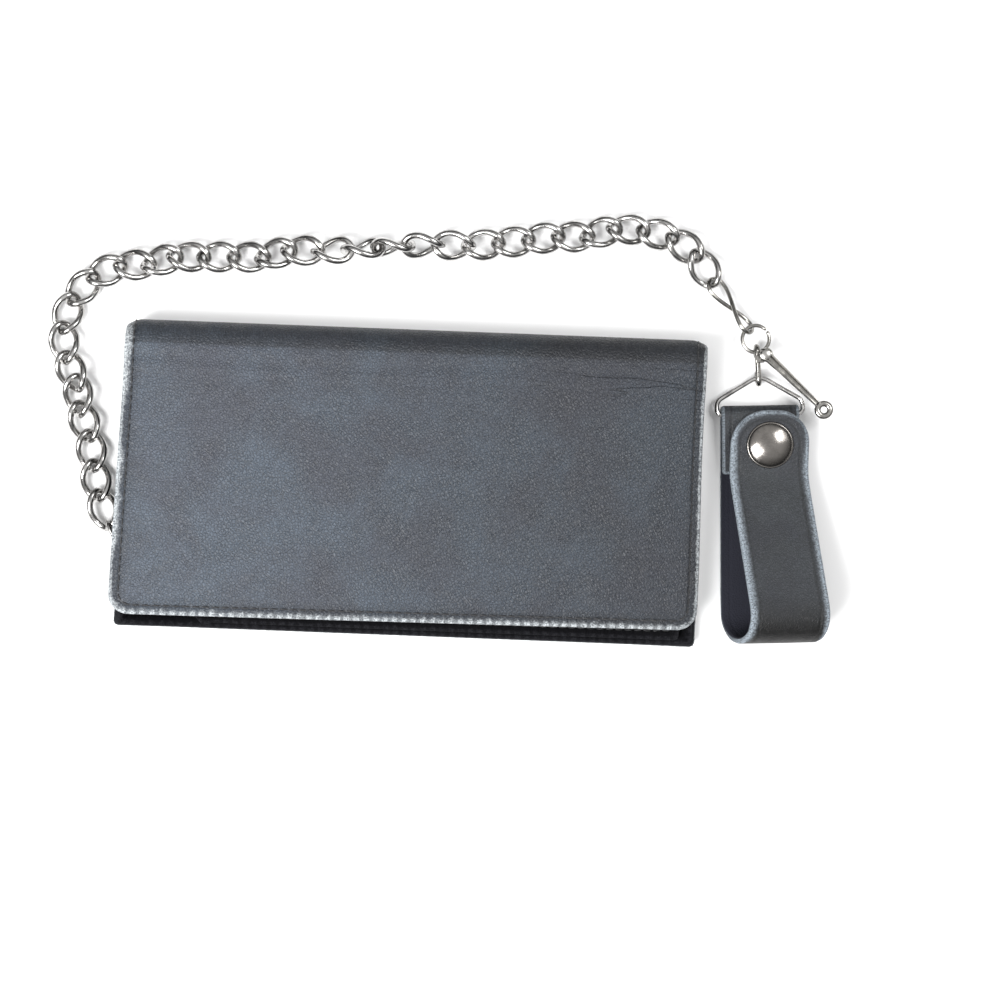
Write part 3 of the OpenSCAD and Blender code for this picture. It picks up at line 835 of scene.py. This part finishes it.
# near black with very little shine: partly the lining's own black, partly painted shade standing in for the
# shade under the flap and inside the pockets
lining_leather = leather(
    "lining_leather",
    (0.003, 0.003, 0.004), (0.004, 0.004, 0.005), (0.02, 0.02, 0.023), (0.005, 0.005, 0.006),
    cell=0.8, depth=0.06, rough=0.66, shine=0.035)
belt_leather = leather(
    "belt_leather",
    (0.030, 0.034, 0.038), (0.022, 0.024, 0.030), (0.27, 0.31, 0.35), (0.016, 0.017, 0.027),
    cell=0.8, depth=0.11, rough=0.50, shine=0.33, fray=1.8, ticks=False,
    # painted shade: the band round the loop's bottom bend, where the leather curves down away from the light
    painted_shade_band=(fold_l + bend_s - 5, fold_l + bend_s + 33, 6, 13, 0.97))
thread_black = sewing_thread("thread_black", (0.004, 0.004, 0.005))
chrome = metal("chrome", (0.52, 0.51, 0.50), 0.14, 0.42)
# darker than chrome: partly a duller finish, partly painted shade standing in for darker reflections on the
# ring, the figure-eight link and the hook
steel = metal("steel", (0.36, 0.35, 0.33), 0.15, 0.4)
nickel = metal("nickel", (0.50, 0.49, 0.47), 0.2, 0.3)
gunmetal = metal("gunmetal", (0.24, 0.225, 0.21), 0.17, 0.3)
zip_metal = metal("zip_metal", (0.52, 0.50, 0.46), 0.26, 0.4)
tape_cloth = woven("tape_cloth", (0.012, 0.012, 0.014))

# ---- wallet cover, back to flap in one skin


def edge_rise(x):
    """0 over the flat middle, growing to 1 at the left and right edges."""
    return np.clip((np.abs(x) - flat_half) / lift_w, 0, 1)


def waves(x, s):
    """Slow unevenness of a leather panel that has been carried in a pocket, 0 to 1."""
    return (
        0.5 + 0.2 * np.sin(x / 23 + 1.3) * np.cos(s / 31 + 0.4) + 0.17 * np.sin(x / 11 + s / 17)
        + 0.13 * np.cos(s / 9 - x / 41 + 2.0)
    )


def cover_place(x, s):
    """Middle of the leather: s runs from the back's bottom edge, round the spine, to the flap's edge."""
    x, s = np.asarray(x, float), np.asarray(s, float)
    a = np.clip((s - back_l) / rim_r, 0, math.pi + flap_slope) - math.pi / 2
    t = np.maximum(s - flap_start, 0)
    tuck = 1.8 * np.clip((np.abs(x) - half_w) / 5 + 1, 0, 1) ** 2
    y = np.where(s < back_l, bottom_y + s, bend_y + (rim_r - tuck) * np.cos(a) - t * math.cos(flap_slope))
    z = np.where(s < back_l, leather_t / 2, mid_z + rim_r * np.sin(a) - t * math.sin(flap_slope))
    down = s - flap_start
    lift = edge_lift * edge_rise(x) * ease((back_l + 2 - s) / 12)
    puff = ease((down + 6) / 16)
    rise = 0.45 * waves(x, s) * puff * (1 - 0.5 * edge_rise(x)) - flap_drop * ease(edge_rise(x)) * puff
    for side in (-1, 1):
        off = np.hypot(x - side * snap_x, down - snap_along) / 6.2
        rise = rise + 0.30 * np.exp(-off**6)
    fold = 0.16 * np.sin(down * 1.1 + 0.8 * np.sin(x / 19)) * np.exp(-(((down - 5) / 4.5) ** 2))
    sway = 0.25 * np.sin(s / 13 + 0.6) * edge_rise(x) ** 2
    flare = np.where(s < back_l, 1.7 * ease(1 - s / 40), 2.8 * ease((down - 8) / (flap_l - 8)))
    flare = flare * np.clip(-x / half_w, 0, 1) ** 3
    return np.stack([x + sway - flare, y, z + lift + rise + fold], -1)


def slanted(start):
    """Slant that grows from start, where the flap leaves the spine, to the flap's bottom edge."""
    return lambda x, s: (x, s + flap_tilt * x / half_w * np.clip((s - start) / flap_l, 0, 1))


def cover_wear(x, s):
    """The left edge is rubbed most, the right edge least."""
    left = ease((-x - half_w + 7) / 5)
    right = ease((x - half_w + 7) / 5)
    overall = 0.62 + 0.02 * left - 0.22 * right
    patches = 0.5 * left * np.sin(s / 5.1 + 1) * np.sin(s / 13.0 + 0.5)
    patches = patches + 0.75 * left * np.exp(-(((s - flap_start) / 11) ** 2))
    return np.clip(overall * (0.92 + patches + 0.2 * np.sin(s / 6.0 + 1) * np.sin(s / 2.7)), 0.15, 1.1)


cover = Sheet(-half_w, half_w, 0, cover_l, step=1.35, radii=(1.5, corner_r), place=cover_place, flip=True,
              shear=slanted(flap_start))
cover.punch((eyelet_at[0], eyelet_at[1] - bottom_y), eyelet_hole)
cover.measure(cover_wear)
part, attributes = cover.solid(leather_t)
cover_piece = make("wallet_cover", part, cover_leather, attributes)
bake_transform(cover_piece)
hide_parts("cover_back", "cover_flap")

seam_x = half_w - stitch_in
front_seam = u_path(-seam_x, seam_x, back_l + arc_l * 0.5, cover_l - stitch_in, corner_r - 2)
front_seam = np.stack(slanted(flap_start)(*front_seam.T), 1)
back_seam = u_path(-seam_x, seam_x, -back_l - arc_l * 0.5, -stitch_in, 1.5) * [1, -1]
back_sunk = 0.33
seam_parts = [stitches(cover, front_seam, leather_t / 2),
              stitches(cover, back_seam, leather_t / 2 - back_sunk)]
cover_seams = make("cover_seams", merge(*seam_parts), thread_black)
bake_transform(cover_seams)

# ---- inner sheets of the back

pocket_top = 36
divider_top = 34


def inner_place(low, thick, seat):
    """Sheet that is flat in the middle and settles onto its neighbour at the sides and the bottom."""

    def place(x, y):
        side = ease((np.abs(x) - flat_half + 2) / (inner_half - seam_w - flat_half + 2))
        end = ease((inner_bottom + 7 - y) / 6)
        rise = edge_lift / lift_w * np.maximum(np.abs(x) - flat_half, 0)
        z = low + (seat + rise - low) * np.maximum(side, end) if seat < low else low + rise
        return np.stack([np.asarray(x, float), np.asarray(y, float), z + thick / 2], -1)

    return place


def inner_sheet(top_y, low, thick, seat, half=inner_half, y0=inner_bottom, cut=True):
    """Sheet of the back, with its bottom left corner cut off above the chain's eyelet."""
    place = inner_place(low, thick, seat)
    sheet = Sheet(-half, half, y0, top_y, step=1.6, radii=(1.5, 1.2), place=place)
    if cut:
        limit = corner_cut + 0.4
        sheet.cut(lambda x, y: (x + half) + (y - y0) > limit)
        for i in sheet.border_points():
            x, y = sheet.flat[i]
            over = limit - (x + half) - (y - y0)
            if abs(over) < 2.2:
                sheet.flat[i] += over / 2
    return sheet


def half_worn(x, _):
    return np.full(np.shape(x), 0.5)


def lining_piece(name, sheet, thick, body, node):
    sheet_piece(name, sheet.measure(half_worn), thick, lining_leather, body, "lining_leather", node)


lining = inner_sheet(bend_y, lining_z, lining_t, lining_z, half_w - 0.5, bottom_y + 0.5, cut=False)
lining.punch(eyelet_at, eyelet_hole)
lining_piece("back_lining_sheet", lining, lining_t, "wallet", "back_lining")
divider = inner_sheet(divider_top, divider_z, lining_t, stack_t)
lining_piece("bill_divider_sheet", divider, lining_t, "wallet", "bill_divider")
panel = inner_sheet(pocket_top, pocket_z, lining_t, stack_t + lining_t)
lining_piece("pocket_panel_sheet", panel, lining_t, "wallet", "pocket_panel")

coin = inner_sheet(pocket_top, coin_z, coin_t, stack_t + 2 * lining_t)
coin.cut(lambda x, y: (np.abs(x) > zip_w / 2) | (np.abs(y - zip_y) > slot_h / 2))
for i in coin.border_points():
    x, y = coin.flat[i]
    if abs(x) <= zip_w / 2 + 1.5 and abs(y - zip_y) < slot_h:
        inside_x = min(abs(x), zip_w / 2) * np.sign(x)
        coin.flat[i] = inside_x, zip_y + np.sign(y - zip_y) * slot_h / 2
lining_piece("coin_pocket_sheet", coin, coin_t, "wallet", "coin_pocket_front")

seam_half = inner_half - seam_w
seam_bottom = inner_bottom + seam_w
seam_top = pocket_top - 1
coin_outline = np.array([
    [-seam_half, seam_top], [-seam_half, inner_bottom + corner_cut + 1],
    [corner_cut + 1 - inner_half, seam_bottom], [seam_half, seam_bottom], [seam_half, seam_top],
])
tape_half = zip_w / 2 + 3
zip_box = rounded(corners(-tape_half, tape_half, zip_y - 5, zip_y + 5), [1.2] * 4, 3)
zip_box = np.vstack([zip_box, zip_box[:1]])
seams = [stitches(coin, line, coin_t / 2, thread=0.24) for line in (coin_outline, zip_box)]
piece("coin_pocket_seams", merge(*seams), thread_black, "wallet", "lining_leather")

# ---- zip


def tape_place(x, y):
    return np.stack([x, y, np.full(np.shape(x), coin_z - tape_t / 2)], -1)


tape = Sheet(-tape_half, tape_half, zip_y - tape_h / 2, zip_y + tape_h / 2, step=1.5, radii=(0.8, 0.8),
             place=tape_place).measure(half_worn)
sheet_piece("zip_tape_cloth", tape, tape_t, tape_cloth, "wallet", "zip_tape", "zipper_tape")

tooth_pitch = 1.5
tooth_half = 0.52
tooth_low = coin_z + 0.05
tooth_high = coin_top + 0.4
teeth = []
for i in range(int((zip_w - 3) / tooth_pitch)):
    x = -zip_w / 2 + 1.6 + i * tooth_pitch
    side = 1 if i % 2 else -1
    y0, y1 = sorted((zip_y - side * 0.28, zip_y + side * 0.95))
    teeth.append(block((x - tooth_half, y0, tooth_low), (x + tooth_half, y1, tooth_high), 0.18, 1))
piece("zip_teeth", merge(*teeth), zip_metal, "wallet", "zip_metal", "zipper_teeth")

slider_low, slider_high = box_mm("zipper_slider")
slider_z = slider_low[2]
slider_top = slider_z + 1.8
slider_half_w = (slider_high[1] - slider_low[1]) / 2
slider_half_l = 4
slider_frame = move((slider_low[0] + slider_high[0]) / 2, zip_y, 0)
nose = [(-slider_half_l, 0.72), (-3.7, 0.82), (-1.5, 0.9), (0.8, 1.0), (3.3, 1.0), (slider_half_l, 0.86)]
plate = shaped(mirrored([(-0.5, 0.0), (-0.92, 0.10), (-1, 0.4), (-0.9, 0.85), (-0.65, 1)]),
               [(x, wide * slider_half_w, slider_z + 0.55, slider_top) for x, wide in nose])
wings = [placed(move(0, 0, slider_z), block((-slider_half_l, y0, 0), (slider_half_l, y1, 0.8), 0.2))
         for y0, y1 in ((-slider_half_w, -1), (1, slider_half_w))]
pull_z = slider_top + 0.9
bail = sweep(upright(arc((0, pull_z - 0.1), 1.05, -40, 220, 20)), 0.42, Y_AXIS, sides=10)
piece("zip_slider_body", placed(slider_frame, merge(plate, *wings, bail)), nickel, "zip_slider",
      "fitting_metal", "zipper_slider")

pull_t = 0.9
pull_low, pull_high = pull_z - pull_t / 2, pull_z + pull_t / 2
pull_outline = [(-12, 0.6), (-11.7, 0.82), (-10.8, 0.98), (-8, 1.0), (-5.5, 0.9), (-3.4, 0.78), (-2.9, 0.7)]
tab = shaped(mirrored([(-0.8, 0), (-1, 0.3), (-0.85, 0.85), (-0.55, 1)]),
             [(x, 2 * wide, pull_low, pull_high) for x, wide in pull_outline])
fork = [block((-3.3, y - 0.45, pull_low), (0.45, y + 0.45, pull_high), 0.2) for y in (-1.5, 1.5)]
pin = lathe([(0, -1.95), (0.38, -1.95), (0.45, -1.8), (0.45, 1.8), (0.38, 1.95), (0, 1.95)], segments=16)
pin = placed(move(0, 0, pull_z) @ turn("x", math.pi / 2), pin)
piece("zip_pull_tab", placed(slider_frame, merge(tab, *fork, pin)), nickel, "zip_pull", "fitting_metal",
      "zipper_pull")

# ---- inside of the flap


def flap_point(x, t, rho):
    """Point under the flap: t along it from the bend, rho out from the bend's centre."""
    x, t, rho = np.broadcast_arrays(np.asarray(x, float), t, rho)
    drop = flap_drop * ease(edge_rise(x))
    y = bend_y - t * math.cos(flap_slope) - rho * math.sin(flap_slope)
    z = mid_z - t * math.sin(flap_slope) + rho * math.cos(flap_slope) - drop
    return np.stack([x, y, z], -1)


def under_flap(rho):
    return lambda x, t: flap_point(x, t, rho)


flap_skin = Sheet(-half_w + 0.8, half_w - 0.8, 0, flap_l - 0.8, step=1.6, radii=(0.8, corner_r - 1),
                  place=under_flap(mid_z - leather_t - lining_t / 2), shear=slanted(0))
lining_piece("flap_lining_sheet", flap_skin, lining_t, "flap", "flap_lining")

card_half = 33
card_gap = 2
card_near, card_step, card_far = 22, 8, 60
card_t = 0.5
cards, threads = [], []
for side in (-1, 1):
    middle = side * (card_half + card_gap)
    for tier in range(3):
        pocket = Sheet(middle - card_half, middle + card_half, card_near + card_step * tier, card_far,
                       step=1.8, radii=(2.2, 1.0), place=under_flap(socket_rho - card_t * (tier + 0.5)))
        pocket.measure(half_worn)
        cards.append(pocket.solid(card_t))
    outline = u_path(middle - card_half + 2, middle + card_half - 2, 25, card_far - 2, 1)
    threads.append(stitches(pocket, outline, card_t / 2, thread=0.2))
attributes = {k: np.concatenate([c[1][k] for c in cards]) for k in cards[0][1]}
piece("card_pocket_sheets", merge(*[c[0] for c in cards]), lining_leather, "flap", "lining_leather",
      "card_pockets", attributes=attributes)
piece("card_pocket_seams", merge(*threads), thread_black, "flap", "lining_leather")

# ---- snaps and eyelet

snap_y = flap_point(snap_x, snap_along, socket_rho)[1]
post = lathe([(0, 1.1), (1.2, 1.1), (1.7, 0.95), (1.8, 0.7), (1.55, 0.4), (3.4, 0.36), (4.2, 0.42),
              (4.8, 0.3), (5.0, 0.1), (4.9, 0.0), (0, 0.0)])
studs = [placed(move(x, snap_y, coin_top), post) for x in (-snap_x, snap_x)]
piece("wallet_snap_studs", merge(*studs), nickel, "wallet", "snap_metal", "snap_studs")

flap_frame = move(0, bend_y, mid_z) @ turn("x", flap_slope)
socket = lathe([(2.1, 0.9), (2.25, 0.05), (2.5, -0.02), (3.2, 0.10), (4.1, 0.05), (4.55, 0.2), (4.7, 0.5),
                (4.6, 0.9), (2.1, 0.9)])
sockets = [placed(flap_frame @ move(x, -snap_along, socket_rho - 0.9), socket) for x in (-snap_x, snap_x)]
piece("flap_snap_sockets", merge(*sockets), nickel, "flap", "snap_metal", "snap_sockets")

eyelet_frame = move(*eyelet_at, eyelet_z) @ turn("y", edge_tilt)
rolled = [(2.2, 0.1), (2.35, -0.15), (2.7, -0.3), (3.2, -0.28), (3.5, -0.12), (3.45, 0.0), (2.7, 0.05),
          (2.7, stack_t + 0.25), (3.1, stack_t + 0.32), (3.2, stack_t + 0.45), (3.0, stack_t + 0.6),
          (2.5, stack_t + 0.6), (2.25, stack_t + 0.4), (2.2, stack_t), (2.2, 0.1)]
piece("chain_eyelet", placed(eyelet_frame, lathe(rolled)), nickel, "wallet", "fitting_metal", "eyelet")
washer = lathe(washer_profile(2.78, 3.6, stack_t, stack_t + 0.3, 0.1))
piece("chain_eyelet_washer", placed(eyelet_frame, washer), nickel, "wallet", "fitting_metal", "eyelet_washer")

# ---- chain, by the part's own rule

# for each link, counted from the wallet: its direction, its extra slack and its roll about its length
chain_start = np.array([-93.0, -16.0])
headings = [112, 102, 100, 112, 98, 116, 98, 74, 50, 26, 2, 20, 0, 4, 0, 18,
            0, 4, 6, 6, 4, 0, 8, 8, 10, 0, 20, -2, -10, -34, -58]
slacks = [0, 0, 0, 0, 1, 1.5, 0, 0, 0, 0, 0, 0.8, 0.8, 0, 0, 0.8,
          0.8, 0, 0, 0, 0, 0, 0, 0, 0, 0, 0.6, 0.6, 0, 0, 0]
rolls = [0, 0, 0, 0, -12, -12, -6, 0, 0, 0, 0, -12, -12, 0, 0, -12,
         -12, -36, -66, -96, -126, -156, -180, -180, -180, -180, -192, -192, -180, -180, -180]
oval_heading = math.radians(118)
oval_z = 3.75
oval_l = 18.5
wire_slack = 0.05


def toward(degrees):
    a = math.radians(degrees)
    return np.array([math.cos(a), math.sin(a)])


def link_path(n):
    """Middle of a curb link's wire: an oval, twisted end against end."""
    t = 2 * math.pi * np.arange(n) / n
    twist = link_twist * np.cos(t)
    across = link_half_w * np.sin(t)
    return np.stack([link_half_l * np.cos(t), across * np.cos(twist), across * np.sin(twist)], 1)


def rest_height(roll):
    """Height of a rolled link's middle when it lies on the table."""
    p = link_path(24)
    a = math.radians(roll)
    reach = np.abs(p[:, 1] * math.sin(a) + p[:, 2] * math.cos(a)).max()
    return reach + link_wire / 2 + (0.1 if roll % 180 == 0 else 0.5)


# from a link's middle to its joint with the link before, reach[i], and with the link after, reach[i + 1]
reach = [link_half_l - (link_wire + link_play + slack) / 2 for slack in slacks + [0]]
joints_xy = [chain_start]
for i, heading in enumerate(headings):
    joints_xy.append(joints_xy[-1] + (reach[i] + reach[i + 1]) * toward(heading))
heights = [rest_height(r) for r in rolls]
joints_z = [oval_z] + [(a + b) / 2 for a, b in zip(heights, heights[1:])] + [heights[-1]]

curb = sweep(link_path(72), link_wire / 2 - wire_slack, Z_AXIS, closed=True, sides=16)
for i, (heading, roll) in enumerate(zip(headings, rolls)):
    step = reach[i] + reach[i + 1]
    low, high = joints_z[i], joints_z[i + 1]
    middle = joints_xy[i] + reach[i] * toward(heading)
    z = (low * reach[i + 1] + high * reach[i]) / step
    where = (move(*middle, z) @ turn("z", math.radians(heading))
             @ turn("y", -math.atan2(high - low, step)) @ turn("x", math.radians(roll)))
    name = f"chain_link_{i + 1:02d}"
    piece(f"curb_link_{i + 1:02d}", placed(where, curb), chrome, name, "chain_metal", name)

oval = upright(rounded(corners(0, oval_l, -3, 3), [2.955] * 4, 14))
oval_frame = move(*eyelet_at, oval_z) @ turn("z", oval_heading) @ move(-0.4, 0, 0)
oval_wire = sweep(oval, slim_wire / 2 - wire_slack, Y_AXIS, closed=True)
piece("oval_link", placed(oval_frame, oval_wire), chrome, "wallet_link", "chain_metal", "wallet_link")

chain_end = np.array([*joints_xy[-1], joints_z[-1]])
catch = ring_centre + ring_mid_r * np.array([*toward(128), 0])
run = catch - chain_end
clip_l = np.linalg.norm(run) + 2.1
clip_frame = (move(*chain_end) @ turn("z", math.atan2(run[1], run[0]))
              @ turn("y", -math.atan2(run[2], math.hypot(run[0], run[1])))
              @ move(clip_l / 2 - 0.6, 0, 0) @ turn("x", math.radians(-48)))
t = 2 * math.pi * np.arange(96) / 96
eight = np.stack([clip_l / 2 * np.cos(t), 3.0 * np.sin(2 * t), -0.78 * np.sin(t)], 1)
eight_wire = sweep(eight, slim_wire / 2, Z_AXIS, closed=True)
piece("figure_eight_link", placed(clip_frame, eight_wire), steel, "clip_link", "chain_metal", "clip_link")

gap = 2.5
circle = level(arc((0, 0), ring_mid_r, 40 + gap, 400 - gap, 96))
ring_part = sweep(circle, round_ends(circle, ring_wire / 2), Z_AXIS)
piece("round_ring", placed(move(*ring_centre), ring_part), steel, "joining_ring", "fitting_metal",
      "joining_ring")

# ---- trigger hook

hook_heading = -84
hook_at = ring_centre[:2] + ring_mid_r * toward(hook_heading)
hook_frame = move(*hook_at, 0) @ turn("z", math.radians(hook_heading))
hook_wire = 1.7
loop_r = 1.75
seat_x, seat_r = 7.9, 1.9
pivot_frame = move(107.3, 43.7, 0)
boss_low, boss_top, boss_r = 5.3, 6.5, 2.2
spring_low, spring_high, spring_turns = 6.65, 7.13, 1.5
lever_z, lever_t, lever_l = 7.3, 1.5, 24.6
lever_heading = math.radians(-41.5)

hook_line = np.vstack([
    arc((0, ring_centre[2]), loop_r, -20, -270, 36),
    arc((seat_x, dring_z), seat_r, 90, -90, 24),
    [[seat_x - 2.4, dring_z - seat_r]],
])
hook_line = upright(resample(hook_line, 0.35)[0])
wire = placed(hook_frame, sweep(hook_line, round_ends(hook_line, hook_wire / 2), Y_AXIS))
boss = placed(pivot_frame, lathe(washer_profile(0.85, boss_r, boss_low, boss_top, 0.2)))
arm = placed(hook_frame, block((1, -0.8, boss_low), (3.4, 2.0, boss_top - 0.1), 0.3))
piece("hook_wire_body", merge(wire, boss, arm), steel, "hook", "fitting_metal", "hook_body")

rivet = [(0, 4.8), (1.1, 4.85), (1.5, 5.1), (1.5, 5.3), (0.8, 5.3), (0.8, 8.85), (1.5, 8.85), (1.45, 9.1),
         (1.0, 9.32), (0, 9.4)]
piece("hook_rivet_pin", placed(pivot_frame, lathe(rivet)), nickel, "hook", "fitting_metal", "hook_rivet")
coil_a = np.linspace(0, spring_turns * 2 * math.pi, 60)
coil = np.stack([1.3 * np.cos(coil_a), 1.3 * np.sin(coil_a), np.linspace(spring_low, spring_high, 60)], 1)
coil_wire = sweep(coil, 0.15, Z_AXIS, sides=8)
piece("hook_spring_coil", placed(pivot_frame, coil_wire), nickel, "hook", "fitting_metal", "hook_spring")

lever_section = mirrored([(-0.4, 0.0), (-0.86, 0.06), (-1, 0.32), (-0.96, 0.66), (-0.78, 0.95), (-0.52, 0.97),
                          (-0.22, 0.30)])
root_half, tip_half = 1.6, 0.9
lever_stations = []
for x in np.linspace(-2.15, lever_l - 2.0, 44):
    taper = root_half + (tip_half - root_half) * max(x, 0) / lever_l
    disc = math.sqrt(max(0.2, boss_r**2 - x * x)) if x < boss_r else 0
    lever_stations.append((x, taper if disc < taper and x > 0 else disc, lever_z, lever_z + lever_t))
eye_tube = [(1.93 + 0.97 * math.cos(a), lever_z + lever_t / 2 + 0.75 * math.sin(a))
            for a in np.linspace(0, 2 * math.pi, 17)]
bar = merge(shaped(lever_section, lever_stations), placed(move(lever_l, 0, 0), lathe(eye_tube, segments=32)))
piece("trigger_bar", placed(pivot_frame @ turn("z", lever_heading), bar), steel, "trigger_lever",
      "fitting_metal", "hook_lever")

# ---- D-ring and belt loop

loop_frame = move(*bar_centre, 0) @ turn("z", loop_tilt)
d_half, d_side, d_peak = 13.3, 4.2, 11.9
d_outline = rounded([[-d_half, 0], [d_half, 0], [d_half, d_side], [0, d_peak], [-d_half, d_side]],
                    [1.6, 1.6, 3, 5, 3], 10)
d_wire = sweep(level(d_outline), dring_wire / 2, Z_AXIS, closed=True)
piece("d_ring_wire", placed(loop_frame @ move(0, 0, dring_z), d_wire), chrome, "d_ring", "fitting_metal",
      "d_ring")

climb = 15.2
tip_z = tongue_end_z + (pinch_s + 1) * math.tan(return_slope)
side_line = np.vstack([
    [[pinch_s, return_end_z]],
    arc((0, dring_z), fold_mid, 90, 270, 16),
    arc((bend_s, 9), bend_r, -90, 90 + climb, 30),
    [[pinch_s + 4, tongue_end_z + 0.75], [pinch_s, tongue_end_z]],
    [[-1, tip_z]],
])
side_fine, side_run = resample(side_line, 0.4)
tongue_part = side_run > fold_l + bend_s + 20
side_fine[tongue_part] = soften(side_fine[tongue_part], 40)
belt_l = side_run[-1]


def belt_place(x, s):
    """Middle of the belt leather: s runs from the return layer's end round the D-ring to the tongue's tip."""
    x, s = np.asarray(x, float), np.asarray(s, float)
    down = np.interp(s, side_run, side_fine[:, 0])
    z = np.interp(s, side_run, side_fine[:, 1])
    narrow = np.where(s < fold_l - 4, 1 - 0.1 / (loop_w / 2), 1)
    lean = loop_lean * np.clip((s - fold_l) / (bend_s - 6), 0, 1)
    return put(loop_frame, np.stack([x * narrow + lean * (z - dring_z), -down, z], -1))


def belt_wear(x, s):
    bottom = np.exp(-(((s - fold_l - bend_s - 9) / 10) ** 2))
    free = ease((s - fold_l - bend_s - 6) / 12)
    tip = ease((s - belt_l + 16) / 12)
    right = ease(x / loop_w + 0.5)
    return np.clip(0.35 + 0.6 * free - 0.25 * bottom - 0.3 * tip - 0.25 * right * free, 0, 1)


belt = Sheet(-loop_w / 2, loop_w / 2, 0, belt_l, step=1.1, radii=(0.8, 10.5), place=belt_place)
belt.measure(belt_wear)
last_row = belt.shape[0] - 1
bend_first = round((fold_l + bend_s - 1) * last_row / belt_l)
bend_last = round((fold_l + bend_s + bend_r * math.radians(180 + climb) + 1) * last_row / belt_l)
sheet_piece("belt_strap_leather", belt, loop_t, belt_leather, "belt_strap", "belt_leather", "loop_strap",
            rows=(0, bend_first))
sheet_piece("belt_tongue_leather", belt, loop_t, belt_leather, "belt_tongue", "belt_leather", "loop_tongue",
            rows=(bend_last, last_row))
part, attributes = belt.solid(loop_t, (bend_first, bend_last))
belt_bend = make("belt_bend_leather", part, belt_leather, attributes)
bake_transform(belt_bend)

cap_frame = (loop_frame @ move(loop_lean * (tongue_cap_z - dring_z), -cap_s, tongue_cap_z)
             @ turn("x", return_slope) @ move(0, 0, loop_t / 2))
dome_r, dome_h, dome_base = 6.4, 2.1, 0.5
ball_r = (cap_r**2 + dome_h**2) / (2 * dome_h)
dome = [(ball_r * math.sin(a), dome_base + dome_h - ball_r + ball_r * math.cos(a))
        for a in np.linspace(0, math.asin(dome_r / ball_r), 12)]
rim = [(6.62, 0.78), (6.72, 0.62), (6.9, 0.62), (7.08, 0.52), (cap_r, 0.28), (7.12, 0.05), (6.9, 0.0),
       (0, 0.0)]
cap = lathe(dome + rim, segments=64)
piece("belt_snap_dome", placed(cap_frame, cap), gunmetal, "belt_tongue", "snap_metal", "loop_snap_cap")
belt_socket = lathe([(2.1, -1.2), (2.2, -0.1), (2.1, 0.0), (4.6, 0.0), (5.0, -0.3), (4.9, -0.75),
                     (4.3, -0.95), (3.2, -0.9), (2.7, -1.15), (2.1, -1.2)])
piece("belt_snap_socket", placed(cap_frame @ move(0, 0, -loop_t), belt_socket), nickel, "belt_tongue",
      "snap_metal", "loop_snap_socket")
stud_drop = loop_t + 2.0 * math.cos(return_slope)
belt_post = lathe([(0, 1.7), (1.2, 1.7), (1.7, 1.5), (1.8, 1.2), (1.5, 0.6), (1.6, 0.42), (3.6, 0.4),
                   (4.6, 0.36), (5.0, 0.15), (4.9, 0.0), (0, 0.0)])
piece("belt_snap_stud", placed(cap_frame @ move(0, 0, -stud_drop), belt_post), nickel, "belt_strap",
      "snap_metal", "loop_snap_stud")

# ---- floor, light and camera


def floor():
    sh = Shader("pale_floor")
    cloud = sh.noise(sh.add("ShaderNodeTexCoord").outputs["Object"], 3.0)
    sh.shade(Base_Color=sh.mix(cloud, (0.90, 0.90, 0.90), (0.94, 0.94, 0.94)), Roughness=0.7)
    reach = 2.5
    mesh = bpy.data.meshes.new("floor")
    mesh.from_pydata(level(corners(-reach, reach, -reach, reach), -0.0002).tolist(), [], [(0, 1, 2, 3)])
    mesh.materials.append(sh.material)
    linked("floor", mesh)


def lamp(name, at, size, power):
    """Square lamp that points at the middle of the part."""
    data = bpy.data.lights.new(name, "AREA")
    data.size = size
    data.energy = power
    obj = linked(name, data)
    obj.location = at
    obj.rotation_euler = (-Vector(at)).to_track_quat("-Z", "Y").to_euler()


def studio():
    """Bright overhead, dim round the horizon, so that metal shows dark and light bands."""
    world = bpy.data.worlds.new("studio")
    scene.world = world
    world.use_nodes = True
    tree = world.node_tree
    background = tree.nodes["Background"]
    coord = tree.nodes.new("ShaderNodeTexCoord")
    split = tree.nodes.new("ShaderNodeSeparateXYZ")
    rise = tree.nodes.new("ShaderNodeMapRange")
    rise.interpolation_type = "SMOOTHSTEP"
    tree.links.new(coord.outputs["Generated"], split.inputs[0])
    tree.links.new(split.outputs[2], rise.inputs["Value"])
    for key, value in (("From Min", 0.30), ("From Max", 0.95), ("To Min", 0.06), ("To Max", 0.9)):
        rise.inputs[key].default_value = value
    tree.links.new(rise.outputs["Result"], background.inputs["Color"])
    background.inputs["Strength"].default_value = 1.0
    lamp("key", (-0.55, -0.50, 0.95), 0.6, 22)
    lamp("fill", (0.70, 0.35, 1.0), 0.5, 8)


def camera():
    """Looks straight down. Its frame is view_w wide at the height view_z, with view_at in the middle."""
    view_w, view_z, view_at, view_turn = 307, 8, (27.43, -4.09), 2.2
    data = bpy.data.cameras.new("camera")
    data.lens = 100
    data.sensor_width = 36
    height = view_w * data.lens / data.sensor_width
    scene.camera = linked("camera", data)
    scene.camera.location = (view_at[0] * MM, view_at[1] * MM, (height + view_z) * MM)
    scene.camera.rotation_euler = (0, 0, math.radians(view_turn))


floor()
studio()
camera()
scene.view_settings.view_transform = "Standard"
